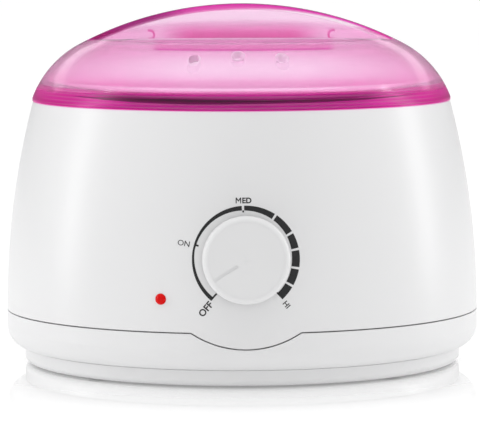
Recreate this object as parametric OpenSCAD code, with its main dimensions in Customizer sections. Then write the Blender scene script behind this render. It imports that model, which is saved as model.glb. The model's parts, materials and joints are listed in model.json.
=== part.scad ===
// Wax warmer pot: a round countertop heater with a lift-out pot and a clear lid.
// The origin is on the upright axis of the body, at the underside of its feet.
// +Z is up and the temperature dial faces -Y.

/* [Housing] */
// Radius of the body at its widest, on the seam between the housing and the base
body_r = 90.1; // [88:0.1:96]
// Radius of the long arc that the side of the housing follows
side_arc_r = 308; // [280:1:400]
// Height of the seam between the housing and the base
seam_z = 20.7; // [20:0.1:24]
// Height of the housing's top rim
rim_z = 100; // [98:0.5:110]
// Wall of the housing and the base
wall = 2.6; // [2:0.1:3]
// Depth of the deck that carries the well, below the rim
deck_drop = 5.5; // [5:0.1:7]
// Thickness of that deck
deck_t = 2.4; // [2:0.1:3]
// Width of the groove at each parting line
seam_groove = 0.5; // [0.3:0.1:0.8]
// Radius of the round tongue of the housing that dips into the base at the front
tab_r = 36.5; // [34:0.5:38]
// How far that tongue dips below the seam
tab_dip = 5.6; // [4:0.1:6]

/* [Base] */
// Radius of the rounded lower corner of the base
corner_r = 8; // [7:0.1:9]
// Height of the base's underside above the table
base_z = 6.4; // [5.8:0.1:7]
// How far the plinth stands in from the side of the base
plinth_inset = 6.8; // [6:0.1:10]
// Wall of the plinth
plinth_wall = 2.2; // [2:0.1:2.6]
// Round on the plinth's lower edge
plinth_edge_r = 2.4; // [1:0.1:2.6]
// Distance of the base screws from the inside of the base's wall
screw_inset = 10.5; // [9.5:0.5:13]
// Radius of a base screw's shank
base_screw_r = 1.6; // [1.4:0.1:2]
// Radius of a screw post inside the housing
post_r = 4; // [3.6:0.1:5]
// Radius of a rubber foot
foot_r = 6; // [5:0.5:7]
// Distance of the feet from the edge of the plinth
foot_inset = 19.3; // [17:0.1:28]
// How far the feet stand below the plinth
foot_proud = 0.6; // [0.5:0.1:1.2]

/* [Pot] */
// Width of the deck from the rim's inside to the pot's inside
deck_w = 18.5; // [18:0.1:21]
// Wall of the pot
pot_wall = 1.2; // [1:0.1:1.6]
// Depth of the pot inside, from its flange to its floor
pot_depth = 60; // [50:0.5:62]
// Width of the pot's flange
pot_flange_w = 6.2; // [5:0.1:6.4]
// Thickness of the pot's flange
pot_flange_t = 1; // [0.8:0.1:1.4]
// Radius of the wire of the carrying bail
bail_wire_r = 1.5; // [1.2:0.1:1.6]
// Distance of the bail's bow outside the pot's flange
bail_out = 1; // [0.5:0.1:2]
// Height of the bail's pivot above the pot's flange
bail_pivot_h = 3.4; // [3.2:0.1:4]

/* [Heater] */
// Clearance between the pot and the well that heats it
pot_clear = 0.8; // [0.5:0.1:1.2]
// Sheet thickness of the well
well_t = 0.8; // [0.6:0.1:1]
// Width of the well's flange
well_flange_w = 9.6; // [9:0.1:10.4]
// Thickness of the gasket under that flange
gasket_t = 0.8; // [0.5:0.1:1.2]
// Thickness of the mica heater band
heater_t = 1.4; // [1:0.1:2]
// Height of the heater band
heater_h = 30; // [24:0.5:34]
// Height of the heater band's lower edge above the well's floor
heater_lift = 8; // [6:0.5:12]
// Height of the steel strap round the heater band
strap_h = 16; // [12:0.5:20]
// Thickness of that strap
strap_t = 0.8; // [0.6:0.1:1]
// How far the heat shield's edge stands in from the side of the well
shield_inset = 1.4; // [0:0.1:8]
// Distance from the well's floor down to the heat shield
shield_gap = 10.9; // [9:0.1:13]

/* [Lid] */
// How far the lid's edge overhangs the housing's rim
lid_over = 0.2; // [0:0.1:1]
// Height of the lid's crown above the rim of the housing
lid_h = 36.8; // [34:0.1:38]
// Radius of the shoulder's arc
shoulder_arc_r = 38.3; // [36:0.1:40]
// How far the shoulder arc's centre lies below the rim of the housing
shoulder_drop = 12.4; // [8:0.1:16]
// Wall of the lid
lid_t = 2.2; // [1.8:0.1:2.6]
// Height of the thick band at the lid's rim
band_h = 5.6; // [4:0.1:7]
// Depth of the locating skirt below the rim
skirt_drop = 3.8; // [3:0.1:4.2]
// Thickness of that skirt
skirt_t = 1.9; // [1.5:0.1:2.4]
// Clearance between the skirt and the housing's rim
skirt_clear = 0.35; // [0.3:0.05:0.6]
// Width of the grip bar that the two finger pockets leave
grip_w = 11; // [9:0.5:14]
// Distance of a finger pocket's round side from the lid's edge
pocket_inset = 19.9; // [19:0.1:26]
// Distance from the axis to the centre of that round side, on the far side
pocket_shift = 6.6; // [6:0.1:10]
// Depth of the pocket floor below the top of the crown
pocket_depth = 15; // [13:0.1:16]
// How far the loose lid is turned on the housing, in degrees
lid_turn = -2; // [-180:1:180]
// Radius of a steam vent
vent_r = 2.1; // [1.6:0.1:2.5]
// Spacing of the steam vents
vent_pitch = 16; // [12:0.5:20]
// Distance of the steam vents from the lid's edge
vent_inset = 14.9; // [12:0.1:16]

/* [Dial] */
// Height of the dial's centre
dial_z = 47.3; // [46:0.1:50]
// Radius of the control knob
knob_r = 15.75; // [14:0.05:18]
// How far the knob stands out from the housing
knob_h = 14; // [12:0.1:16]
// Gap behind the knob
knob_gap = 1; // [0.6:0.1:1.5]
// Wall of the hollow knob
knob_wall = 1.8; // [1.4:0.1:2.4]
// Angle of the pointer from straight up, clockwise, at rest
pointer_angle = -122; // [-139:1:137]
// Radius of the thermostat's shaft
shaft_r = 3; // [2.5:0.1:3.5]
// Radius of the thermostat's threaded bush
bush_r = 5; // [4.5:0.1:6]
// Radius of the ceramic push pin
pin_r = 1.5; // [1.2:0.1:2]
// Clearance round a shaft or pin that turns or slides
running_clear = 0.06; // [0.03:0.01:0.1]

/* [Lamp] */
// Radius of the indicator lens
lens_r = 2; // [1.5:0.1:3]
// How far round to the left the indicator lamp sits, in degrees
lamp_az = 20; // [15:0.1:25]
// Height of the indicator lamp
lamp_z = 32.8; // [31:0.1:36]

/* [Wiring] */
// Height of the cord inlet at the back
inlet_z = 33; // [31:0.5:36]
// Radius of the bore that the cord enters
inlet_bore_r = 3.3; // [2.8:0.1:3.6]
// Radius of an internal lead
lead_r = 1.1; // [0.9:0.1:1.4]

/* [Hidden] */
$fn = 96;
eps = 0.01;
rest_gap = 0.2;      // between faces of pieces that lift apart
fit_gap = 0.1;       // between fixed pieces that are pushed over each other
hole_clear = 0.05;   // between a screw and its hole

// The side of the housing: radius of the outer face at a height
function side_r(z) = body_r - side_arc_r + sqrt(pow(side_arc_r, 2) - pow(z - seam_z, 2));
function side_tilt(z) = asin((z - seam_z) / side_arc_r);
function polar(r, a) = [r * cos(a), r * sin(a), 0];

rim_inner_r = side_r(rim_z) - wall;
pot_inner_r = rim_inner_r - deck_w;
deck_z = rim_z - deck_drop;
gasket_z = deck_z;
well_flange_z = deck_z + gasket_t;
pot_outer_r = pot_inner_r + pot_wall;
well_inner_r = pot_outer_r + pot_clear;
well_outer_r = well_inner_r + well_t;
well_rim_r = well_outer_r + well_flange_w;
opening_r = well_outer_r + 0.6;
pot_flange_z = well_flange_z + well_t + rest_gap;
pot_floor_z = pot_flange_z + pot_flange_t - pot_depth;
pot_rim_r = pot_outer_r + pot_flange_w;
well_floor_z = pot_floor_z - pot_wall - 0.4 - well_t;
heater_z = well_floor_z + well_t + heater_lift;
heater_outer_r = well_outer_r + fit_gap + heater_t;
strap_inner_r = heater_outer_r + fit_gap;
strap_z = heater_z + 4;
pivot_z = pot_flange_z + pot_flange_t + bail_pivot_h;

base_floor_z = base_z + wall;
base_inner_r = body_r - wall;
screw_circle_r = base_inner_r - screw_inset;
plinth_r = body_r - plinth_inset;
plinth_z = foot_proud;
foot_circle_r = plinth_r - foot_inset;

panel_r = side_r(dial_z);
lamp_r = side_r(lamp_z);

bail_r = pot_rim_r + bail_out;
shield_r = well_outer_r - shield_inset;
shield_z = well_floor_z - shield_gap;

skirt_outer_r = rim_inner_r - skirt_clear;
lid_r = side_r(rim_z) + lid_over;
lid_top_z = rim_z + lid_h;
// The shoulder arc runs through a point just outside the lid's edge, and the crown's arc touches it
dome_clip = 0.44;
shoulder_x = lid_r + dome_clip - sqrt(pow(shoulder_arc_r, 2) - pow(shoulder_drop, 2));
shoulder_cz = rim_z - shoulder_drop;
crown_rise = lid_top_z - shoulder_cz;
crown_arc_r = (pow(shoulder_x, 2) + pow(crown_rise, 2) - pow(shoulder_arc_r, 2))
    / (2 * (crown_rise - shoulder_arc_r));
crown_cz = lid_top_z - crown_arc_r;
pocket_r = lid_r - pocket_inset;
vent_y = lid_r - vent_inset;
lid_seat_z = rim_z + rest_gap;
pocket_floor_z = lid_top_z - pocket_depth;

// Places a child on the front panel: local z points out of the housing, local y up
module at_panel() {
    translate([0, -panel_r, dial_z]) rotate([90 - side_tilt(dial_z), 0, 0]) children();
}
// Places a child at the indicator lamp in the same way
module at_lamp() {
    rotate([0, 0, -lamp_az]) translate([0, -lamp_r, lamp_z])
        rotate([90 - side_tilt(lamp_z), 0, 0]) children();
}
// Places a child at the cord inlet: local z points out of the back
module at_inlet() {
    translate([0, side_r(inlet_z), inlet_z]) rotate([side_tilt(inlet_z) - 90, 0, 0]) children();
}
module ring(r_out, r_in, h) {
    difference() {
        cylinder(r = r_out, h = h);
        translate([0, 0, -1]) cylinder(r = r_in, h = h + 2);
    }
}
module around(count, r, start = 45) {
    for (i = [0 : count - 1]) rotate([0, 0, start + i * 360 / count]) translate([r, 0, 0]) children();
}
// A round rod from one point to another
module rod(from, to, r) {
    v = to - from;
    translate(from) rotate([0, acos(v[2] / norm(v)), atan2(v[1], v[0])]) cylinder(r = r, h = norm(v));
}
// A smooth curve through points, with a few steps between each pair
function bend(a, b, c, d, t) = 0.5 * (2 * b + (c - a) * t + (2 * a - 5 * b + 4 * c - d) * t * t
    + (3 * b - a - 3 * c + d) * t * t * t);
function smooth(p, steps = 4) = [for (i = [0 : len(p) - 2], j = [0 : steps - 1])
    bend(p[max(i - 1, 0)], p[i], p[i + 1], p[min(i + 2, len(p) - 1)], j / steps), p[len(p) - 1]];
function unit(v) = v / norm(v);
function square_to(n, t) = unit(n - (n * t) * t);
function tangents(p) = [for (i = [0 : len(p) - 1]) unit(p[min(i + 1, len(p) - 1)] - p[max(i - 1, 0)])];
function normals(t) = [for (i = 0, n = square_to(abs(t[0][2]) < 0.9 ? [0, 0, 1] : [1, 0, 0], t[0]);
    i < len(t); i = i + 1, n = square_to(n, t[min(i, len(t) - 1)])) n];
// A flexible lead that follows the smooth curve through its points
module lead(points, r, sides = 8) {
    path = smooth(points);
    t = tangents(path);
    n = normals(t);
    last = len(path) - 1;
    rings = [for (i = [0 : last], k = [0 : sides - 1]) let (a = k * 360 / sides)
        path[i] + r * (cos(a) * n[i] + sin(a) * cross(t[i], n[i]))];
    walls = [for (i = [0 : last - 1], k = [0 : sides - 1]) let (a = i * sides + k, b = i * sides + (k + 1) % sides)
        each [[a, a + sides, b], [b, a + sides, b + sides]]];
    polyhedron(rings, concat(walls, [[for (k = [0 : sides - 1]) k]],
        [[for (k = [sides - 1 : -1 : 0]) last * sides + k]]));
}

// ---- Housing ----

// Everything inside the side of the housing, less a margin, as a half profile
module side_half(margin = 0) {
    low_z = seam_z - tab_dip - (margin > 0 ? 2 : 1);
    intersection() {
        translate([body_r - side_arc_r, seam_z]) circle(r = side_arc_r - margin, $fn = 360);
        translate([0, seam_z]) square([body_r + 1, rim_z - seam_z]);
    }
    translate([0, low_z]) square([body_r - margin, seam_z - low_z]);
}
// The tongue at the front, as a prism through the wall
module tab_prism(margin = 0) {
    tab_cz = seam_z - tab_dip + tab_r;
    translate([0, -body_r - 1, tab_cz]) rotate([-90, 0, 0]) cylinder(r = tab_r + margin, h = wall + 14);
}
post_top_z = 80;
post_web_t = 2;
pad_r = 13;
pad_t = 1.6;
post_seat_z = base_floor_z + 2;
screw_top_z = post_seat_z + 12;
// The wall from the tongue's tip to the rim, with the deck that carries the well
module housing_wall() {
    difference() {
        rotate_extrude() difference() {
            side_half();
            intersection() {
                side_half(wall);
                square([body_r, deck_z - deck_t]);
            }
            translate([0, deck_z]) square([rim_inner_r, deck_drop + 1]);
            square([opening_r, rim_z + 1]);
        }
        // Below the seam only the tongue is left
        difference() {
            cylinder(r = body_r + 5, h = seam_z + seam_groove / 2);
            tab_prism();
        }
    }
}
module upper_housing() {
    color("white") difference() {
        union() {
            housing_wall();
            around(4, screw_circle_r) translate([0, 0, post_seat_z])
                cylinder(r = post_r, h = post_top_z - post_seat_z);
            // Webs that join the screw posts to the wall
            intersection() {
                around(4, screw_circle_r) translate([0, -post_web_t / 2, post_seat_z + 15])
                    cube([body_r, post_web_t, post_top_z - post_seat_z - 17]);
                rotate_extrude() side_half(wall / 2);
            }
            // Bosses under the deck for the screws of the well
            around(4, well_screw_circle_r, 0) translate([0, 0, deck_z - deck_t - 6])
                cylinder(r = 3.2, h = 7);
            // Flat pad behind the dial
            at_panel() translate([0, 0, -wall - pad_t]) cylinder(r = pad_r, h = pad_t + wall / 2);
        }
        around(4, screw_circle_r) translate([0, 0, post_seat_z - 1])
            cylinder(r = base_screw_r + hole_clear, h = screw_top_z - post_seat_z + 2);
        around(4, well_screw_circle_r, 0) translate([0, 0, deck_z - deck_t - 5])
            cylinder(r = well_screw_r + hole_clear, h = 10);
        at_panel() translate([0, 0, -wall - pad_t - 5]) cylinder(r = bush_r + hole_clear, h = 20);
        at_lamp() translate([0, 0, -wall - 5]) cylinder(r = lens_r + hole_clear, h = 20);
        at_inlet() translate([0, 0, -wall - 5]) cylinder(r = gland_thread_r + hole_clear, h = 20);
    }
}

// ---- Base ----

rib_gap = 0.3;
module base_shell() {
    color("white") difference() {
        union() {
            difference() {
                rotate_extrude() difference() {
                    union() {
                        translate([0, base_z]) square([body_r - corner_r, seam_z - seam_groove / 2 - base_z]);
                        translate([0, base_z + corner_r])
                            square([body_r, seam_z - seam_groove / 2 - base_z - corner_r]);
                        translate([body_r - corner_r, base_z + corner_r]) circle(r = corner_r);
                    }
                    translate([0, base_floor_z]) square([base_inner_r - corner_r + wall, seam_z]);
                    translate([0, base_z + corner_r]) square([base_inner_r, seam_z]);
                    translate([body_r - corner_r, base_z + corner_r]) circle(r = corner_r - wall);
                }
                tab_prism(seam_groove);
            }
            // Inner lip that locates the housing
            rotate_extrude() difference() {
                translate([base_inner_r - rib_gap - 2, base_floor_z - 1])
                    square([2, seam_z - base_floor_z + 4]);
                difference() {
                    translate([base_inner_r - rib_gap - 3, base_z - 2]) square([4, corner_r + 2]);
                    translate([body_r - corner_r, base_z + corner_r]) circle(r = corner_r - 1);
                }
            }
            // Joint between the lip and the wall
            rotate_extrude() intersection() {
                translate([base_inner_r - rib_gap - 1, base_z + corner_r - 3]) square([2, 3.4]);
                translate([body_r - corner_r, base_z + corner_r]) circle(r = corner_r - 1);
            }
            // Seats for the screw posts
            around(4, screw_circle_r) translate([0, 0, base_floor_z - 1]) cylinder(r = post_r + 1, h = 3);
            // Columns for the heat shield
            around(3, shield_column_r, 30) translate([0, 0, base_floor_z - 1])
                cylinder(r = 3.5, h = shield_z - base_floor_z + 1);
            // Rests for the terminal block
            for (x = [-1, 1]) translate([x * block_screw_x, block_y, base_floor_z - 1])
                cylinder(r = 3, h = 1 + block_lift);
        }
        around(4, screw_circle_r) translate([0, 0, base_z - 1])
            cylinder(r = base_screw_r + hole_clear, h = 12);
        around(3, shield_column_r, 30) translate([0, 0, shield_z - 8])
            cylinder(r = shield_screw_r + hole_clear, h = 10);
        for (x = [-1, 1]) translate([x * block_screw_x, block_y, base_floor_z - 1.2])
            cylinder(r = block_screw_r + hole_clear, h = 20);
    }
}
foot_recess = 1.2;
foot_plug_r = 2;
head_r = 3.2;
head_h = 2;
head_recess = 0.4;
module bottom_cover() {
    color("whitesmoke") difference() {
        union() {
            rotate_extrude() difference() {
                union() {
                    translate([0, plinth_z]) square([plinth_r - plinth_edge_r, base_z - plinth_z]);
                    translate([0, plinth_z + plinth_edge_r])
                        square([plinth_r, base_z - plinth_z - plinth_edge_r]);
                    translate([plinth_r - plinth_edge_r, plinth_z + plinth_edge_r])
                        circle(r = plinth_edge_r);
                }
                translate([0, plinth_z + plinth_wall])
                    square([plinth_r - plinth_edge_r - 0.6, base_z]);
            }
            around(4, screw_circle_r) translate([0, 0, plinth_z + 1])
                cylinder(r = head_r + 1.4, h = base_z - plinth_z - 1.1);
            around(8, plinth_r * 0.55, 22.5) translate([0, 0, plinth_z + 1])
                cylinder(r = 3, h = base_z - plinth_z - 1.1);
        }
        around(4, screw_circle_r) {
            translate([0, 0, -1]) cylinder(r = base_screw_r + hole_clear, h = 12);
            translate([0, 0, -1]) cylinder(r = head_r + 0.2, h = plinth_z + head_recess + head_h + 1);
        }
        around(4, foot_circle_r, 0) translate([0, 0, -1]) cylinder(r = foot_r + fit_gap, h = 1 + plinth_z + foot_recess);
        around(4, foot_circle_r, 0) translate([0, 0, -1]) cylinder(r = foot_plug_r + hole_clear, h = 12);
    }
}
module rubber_feet() {
    color("dimgray") around(4, foot_circle_r, 0) {
        rotate_extrude() {
            square([foot_r - 0.5, plinth_z + foot_recess - 0.05]);
            translate([0, 0.5]) square([foot_r, plinth_z + foot_recess - 0.55]);
            translate([foot_r - 0.5, 0.5]) circle(r = 0.5, $fn = 32);
        }
        cylinder(r = foot_plug_r, h = plinth_z + plinth_wall + 0.6);
    }
}
// A pan head screw that stands on its head: the head spans z 0 to h
module screw(shank_r, length, r, h) {
    difference() {
        union() {
            cylinder(r = r, h = h);
            cylinder(r = shank_r, h = h + length);
        }
        for (a = [0, 90]) rotate([0, 0, a]) translate([-r * 0.55, -0.4, -1]) cube([r * 1.1, 0.8, 1 + h * 0.5]);
    }
}
module base_screws() {
    color("silver") around(4, screw_circle_r) translate([0, 0, plinth_z + head_recess])
        screw(base_screw_r, screw_top_z - plinth_z - head_recess - head_h, head_r, head_h);
}

// ---- Heater ----

well_screw_r = 1.5;
well_screw_head_r = 2.6;
well_screw_head_h = 1;
well_screw_circle_r = well_rim_r - well_screw_head_r + 0.6;
module heater_well() {
    color("silver") difference() {
        rotate_extrude() {
            translate([0, well_floor_z]) square([well_outer_r, well_t]);
            translate([well_inner_r, well_floor_z]) square([well_t, well_flange_z + well_t - well_floor_z]);
            translate([well_inner_r, well_flange_z]) square([well_rim_r - well_inner_r, well_t]);
        }
        around(4, well_screw_circle_r, 0) translate([0, 0, well_flange_z - 1])
            cylinder(r = well_screw_r + hole_clear, h = 4);
    }
}
module well_gasket() {
    color("gainsboro") translate([0, 0, gasket_z]) difference() {
        ring(well_rim_r + 0.4, opening_r + 0.4, gasket_t);
        around(4, well_screw_circle_r, 0) translate([0, 0, -1])
            cylinder(r = well_screw_r + hole_clear, h = 4);
    }
}
module well_screws() {
    screw_l = 6;
    color("silver") around(4, well_screw_circle_r, 0)
        translate([0, 0, well_flange_z + well_t + well_screw_head_h]) rotate([180, 0, 0])
            screw(well_screw_r, screw_l, well_screw_head_r, well_screw_head_h);
}
heater_split = 14;   // degrees of the gap at the back of the heater band
terminal_az = [200, 340];   // where the two ends of the heating wire come out
tag_len = 6;
module sector(r, half_angle) {
    polygon([[0, 0], for (i = [-4 : 4]) [r * cos(i * half_angle / 4), r * sin(i * half_angle / 4)]]);
}
module mica_heater() {
    color("tan") difference() {
        translate([0, 0, heater_z]) ring(heater_outer_r, well_outer_r + fit_gap, heater_h);
        rotate([0, 0, 90]) translate([0, 0, heater_z - 1]) linear_extrude(heater_h + 2)
            sector(90, heater_split / 2);
    }
    color("silver") for (a = terminal_az) rotate([0, 0, a])
        translate([heater_outer_r - 0.4, -3, tag_z]) cube([tag_len, 6, 0.8]);
}
tag_z = strap_z + strap_h + 3;
lug_len = 8;
lug_y = 3.2;     // half the gap between the strap's lugs
lug_x = strap_inner_r - 1;
strap_bolt_r = 1.5;
module heater_strap() {
    color("silver") difference() {
        union() {
            translate([0, 0, strap_z]) ring(strap_inner_r + strap_t, strap_inner_r, strap_h);
            for (s = [-1, 1]) rotate([0, 0, 90])
                translate([strap_inner_r, s * (lug_y + strap_t / 2) - strap_t / 2, strap_z])
                    cube([lug_len, strap_t, strap_h]);
        }
        rotate([0, 0, 90]) translate([lug_x - 4, -lug_y, strap_z - 1]) cube([8, 2 * lug_y, strap_h + 2]);
        rotate([0, 0, 90]) translate([strap_inner_r + lug_len / 2 + 0.6, 0, strap_z + strap_h / 2])
            rotate([90, 0, 0]) cylinder(r = strap_bolt_r + hole_clear, h = 20, center = true);
    }
}
module at_strap_bolt() {
    rotate([0, 0, 90]) translate([strap_inner_r + lug_len / 2 + 0.6, 0, strap_z + strap_h / 2])
        rotate([90, 0, 0]) children();
}
module strap_screw() {
    reach = lug_y + strap_t;
    color("silver") at_strap_bolt() translate([0, 0, -reach - 1.6]) screw(strap_bolt_r, 2 * reach + 4, 2.6, 1.6);
}
module strap_nut() {
    color("silver") at_strap_bolt() translate([0, 0, lug_y + strap_t]) difference() {
        cylinder(r = 3, h = 2.2, $fn = 6);
        translate([0, 0, -1]) cylinder(r = strap_bolt_r + hole_clear, h = 5);
    }
}
shield_column_r = shield_r - 10;
shield_screw_r = 1.4;
shield_t = 0.8;
shield_lip = 3;
module heat_shield() {
    color("silver") difference() {
        rotate_extrude() {
            translate([0, shield_z]) square([shield_r, shield_t]);
            translate([shield_r - shield_t, shield_z - shield_lip]) square([shield_t, shield_lip + shield_t]);
        }
        around(3, shield_column_r, 30) translate([0, 0, shield_z - 1])
            cylinder(r = shield_screw_r + hole_clear, h = 4);
    }
}
module shield_screws() {
    color("silver") around(3, shield_column_r, 30) translate([0, 0, shield_z + shield_t + 1.2])
        rotate([180, 0, 0]) screw(shield_screw_r, 7, 2.5, 1.2);
}

// ---- Pot ----

module inner_pot() {
    color("silver") difference() {
        rotate_extrude() difference() {
            union() {
                translate([0, pot_floor_z - pot_wall]) square([pot_outer_r - 4, 8]);
                translate([0, pot_floor_z - pot_wall + 4])
                    square([pot_outer_r, pot_flange_z + pot_flange_t - pot_floor_z + pot_wall - 4]);
                translate([pot_outer_r - 4, pot_floor_z - pot_wall + 4]) circle(r = 4);
                translate([0, pot_flange_z]) square([pot_rim_r, pot_flange_t]);
            }
            translate([0, pot_floor_z]) square([pot_inner_r - 4 + pot_wall, 80]);
            translate([0, pot_floor_z - pot_wall + 4]) square([pot_inner_r, 80]);
            translate([pot_outer_r - 4, pot_floor_z - pot_wall + 4]) circle(r = 4 - pot_wall);
        }
        for (x = [-1, 1], y = [-1, 1]) translate([x * rivet_x, y * rivet_y, pot_flange_z - 1])
            cylinder(r = rivet_r + hole_clear, h = 4);
    }
}
ear_t = 1.2;
ear_w = 9;
ear_x = pot_rim_r - ear_t - 1;      // inner face of an ear
ear_hole_r = bail_wire_r + 0.3;
rivet_x = pot_outer_r + 2.3;
rivet_y = 8;
rivet_r = 1;
module pot_ears() {
    foot_z = pot_flange_z + pot_flange_t;
    color("silver") for (s = [0, 1]) mirror([s, 0, 0]) difference() {
        union() {
            translate([rivet_x - 1.9, -rivet_y - 2, foot_z]) cube([ear_x + ear_t - rivet_x + 1.9, 2 * rivet_y + 4, 1]);
            translate([ear_x, -ear_w / 2, foot_z]) cube([ear_t, ear_w, bail_pivot_h]);
            translate([ear_x, 0, pivot_z]) rotate([0, 90, 0]) cylinder(r = ear_w / 2, h = ear_t);
        }
        translate([ear_x - 1, 0, pivot_z]) rotate([0, 90, 0]) cylinder(r = ear_hole_r, h = 4);
        translate([ear_x - 1, -ear_w, foot_z - 3]) cube([4, 2 * ear_w, 3]);
        for (y = [-1, 1]) translate([rivet_x, y * rivet_y, foot_z - 1]) cylinder(r = rivet_r + hole_clear, h = 4);
    }
}
module ear_rivets() {
    stem = pot_flange_t + 1;
    color("silver") for (x = [-1, 1], y = [-1, 1]) translate([x * rivet_x, y * rivet_y, pot_flange_z]) {
        cylinder(r = rivet_r, h = stem + 0.4);
        translate([0, 0, stem]) cylinder(r1 = 1.8, r2 = 1.2, h = 0.7);
    }
}
module bail_handle() {
    hook_in = ear_x - 1.6;
    color("silver") {
        translate([0, 0, pivot_z]) rotate_extrude(angle = 180) translate([bail_r, 0]) circle(r = bail_wire_r, $fn = 32);
        for (s = [-1, 1]) {
            translate([s * bail_r, 0, pivot_z]) sphere(r = bail_wire_r + 0.2, $fn = 32);
            translate([s > 0 ? hook_in : -bail_r, 0, pivot_z]) rotate([0, 90, 0])
                cylinder(r = bail_wire_r, h = bail_r - hook_in);
        }
    }
}

// ---- Lid ----

// Half profile of the dome, less a margin all over
module dome_half(margin = 0) {
    reach = 1.4;
    shoulder = [shoulder_x, shoulder_cz];
    crown = [0, crown_cz];
    intersection() {
        union() {
            intersection() {
                translate(crown) circle(r = crown_arc_r - margin, $fn = 360);
                polygon([crown, crown + reach * (shoulder - crown) * crown_arc_r / norm(shoulder - crown),
                    [0, reach * lid_top_z]]);
            }
            translate(shoulder) circle(r = shoulder_arc_r - margin, $fn = 180);
        }
        square([lid_r - margin, lid_top_z + 1]);
        translate([0, lid_seat_z]) square([lid_r, lid_h + 1]);
    }
}
// One finger pocket, grown by a margin
module pocket(margin = 0) {
    intersection() {
        translate([0, pocket_shift, pocket_floor_z - margin]) cylinder(r = pocket_r + margin, h = lid_h);
        translate([-lid_r, -lid_r, pocket_floor_z - margin])
            cube([2 * lid_r, lid_r - grip_w / 2 + margin, lid_h]);
    }
}
module lid() {
    color("hotpink", 0.6) rotate([0, 0, lid_turn]) difference() {
        union() {
            rotate_extrude() dome_half();
            rotate_extrude() difference() {
                translate([skirt_outer_r - skirt_t, rim_z - skirt_drop])
                    square([skirt_t, skirt_drop + band_h]);
            }
        }
        difference() {
            translate([0, 0, -eps]) rotate_extrude() difference() {
                intersection() {
                    dome_half(lid_t);
                    square([skirt_outer_r - skirt_t, lid_top_z]);
                }
            }
            for (s = [0, 1]) mirror([0, s, 0]) pocket(lid_t);
        }
        for (s = [0, 1]) mirror([0, s, 0]) pocket();
        // The room above the band, outside the skirt
        rotate_extrude() difference() {
            dome_half(lid_t);
            square([skirt_outer_r - skirt_t - eps, lid_top_z]);
            square([lid_r, rim_z + band_h]);
        }
        for (x = [-1 : 1]) translate([x * vent_pitch, -vent_y, rim_z + band_h]) cylinder(r = vent_r, h = lid_h);
    }
}

// ---- Dial ----

knob_edge_r = 2.4;
knob_front_dome = 0.9;
hub_r = 5;
groove_w = 1.2;
groove_depth = 0.5;
groove_from = 3.8;
groove_l = 10;
groove_tilt = 3.3;
flat_cut = 0.8;        // depth of the flat on the shaft
bush_front = 3.4;      // how far the bush stands out of the housing
nut_t = 2.4;
nut_gap = 0.1;
shaft_front = knob_h - knob_wall - 2;
module knob_half() {
    dome_r = (pow(knob_r, 2) + pow(knob_front_dome, 2)) / (2 * knob_front_dome);
    intersection() {
        translate([0, knob_h - dome_r]) circle(r = dome_r, $fn = 720);
        union() {
            translate([0, knob_gap]) square([knob_r, knob_h - knob_gap - knob_edge_r - knob_front_dome]);
            square([knob_r - knob_edge_r, knob_h]);
            translate([knob_r - knob_edge_r, knob_h - knob_edge_r - knob_front_dome]) circle(r = knob_edge_r);
        }
        translate([0, knob_gap]) square([knob_r, knob_h]);
    }
}
module control_knob() {
    color("white") at_panel() difference() {
        union() {
            rotate_extrude() difference() {
                knob_half();
                translate([0, -1]) square([knob_r - knob_wall, knob_h - knob_wall - knob_front_dome]);
            }
            translate([0, 0, bush_front + 0.8]) cylinder(r = hub_r, h = knob_h - bush_front - knob_wall - 1);
        }
        difference() {
            translate([0, 0, -1]) cylinder(r = shaft_r + hole_clear, h = shaft_front + 1.4);
            rotate([0, 0, -pointer_angle]) translate([-5, shaft_r - flat_cut + hole_clear, -2]) cube([10, 5, 20]);
        }
        rotate([0, 0, -pointer_angle]) translate([0, 0, bush_front + 2]) {
            translate([-2, shaft_r - flat_cut + 0.05, 0]) cube([4, spring_t + 0.1, 5.2]);
        }
        // Pointer groove, which follows the slope of the domed face
        rotate([0, 0, -pointer_angle]) translate([-groove_w / 2, groove_from, knob_h - groove_depth])
            rotate([-groove_tilt, 0, 0]) cube([groove_w, groove_l, 3]);
    }
}
spring_t = 0.4;
module knob_spring() {
    color("silver") at_panel() rotate([0, 0, -pointer_angle])
        translate([-1.9, shaft_r - flat_cut + 0.08, bush_front + 2.05]) cube([3.8, spring_t, 5]);
}
shaft_back = -wall - pad_t - 2.6;    // inner end of the shaft
module thermostat_shaft() {
    color("silver") at_panel() difference() {
        translate([0, 0, shaft_back]) cylinder(r = shaft_r, h = shaft_front - shaft_back);
        rotate([0, 0, -pointer_angle]) translate([-5, shaft_r - flat_cut, bush_front + 0.4]) cube([10, 5, 20]);
    }
}
plate_z = -wall - pad_t;             // face of the thermostat's plate against the pad
plate_t = 1.2;
plate_w = 20;
plate_l = 27;
plate_low = -11;                     // lower edge of the plate, below the shaft
guide_r = 5;
guide_z = plate_z - plate_t - 4.4;
pin_top_z = shaft_back - fit_gap;
pin_len = 4;
stack_y = 10;
stack_r = 4;
stack_rivet_r = 1.4;
spring_z = pin_top_z - pin_len - 0.8;
bimetal_z = spring_z - 4.6;
stack_end = bimetal_z - 2.4;
strip_t = 0.5;
module thermostat_frame() {
    color("silver") at_panel() difference() {
        union() {
            translate([-plate_w / 2, plate_low, plate_z - plate_t]) cube([plate_w, plate_l, plate_t]);
            translate([0, 0, guide_z]) cylinder(r = guide_r, h = plate_z - guide_z);
            translate([0, 0, plate_z - 0.1]) cylinder(r = bush_r, h = bush_front - plate_z + 0.1);
        }
        translate([0, 0, shaft_back - 0.05]) cylinder(r = shaft_r + running_clear, h = 30);
        translate([0, 0, guide_z - 1]) cylinder(r = pin_r + running_clear, h = 20);
        translate([0, stack_y, plate_z - 5]) cylinder(r = stack_rivet_r + hole_clear, h = 10);
    }
}
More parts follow.
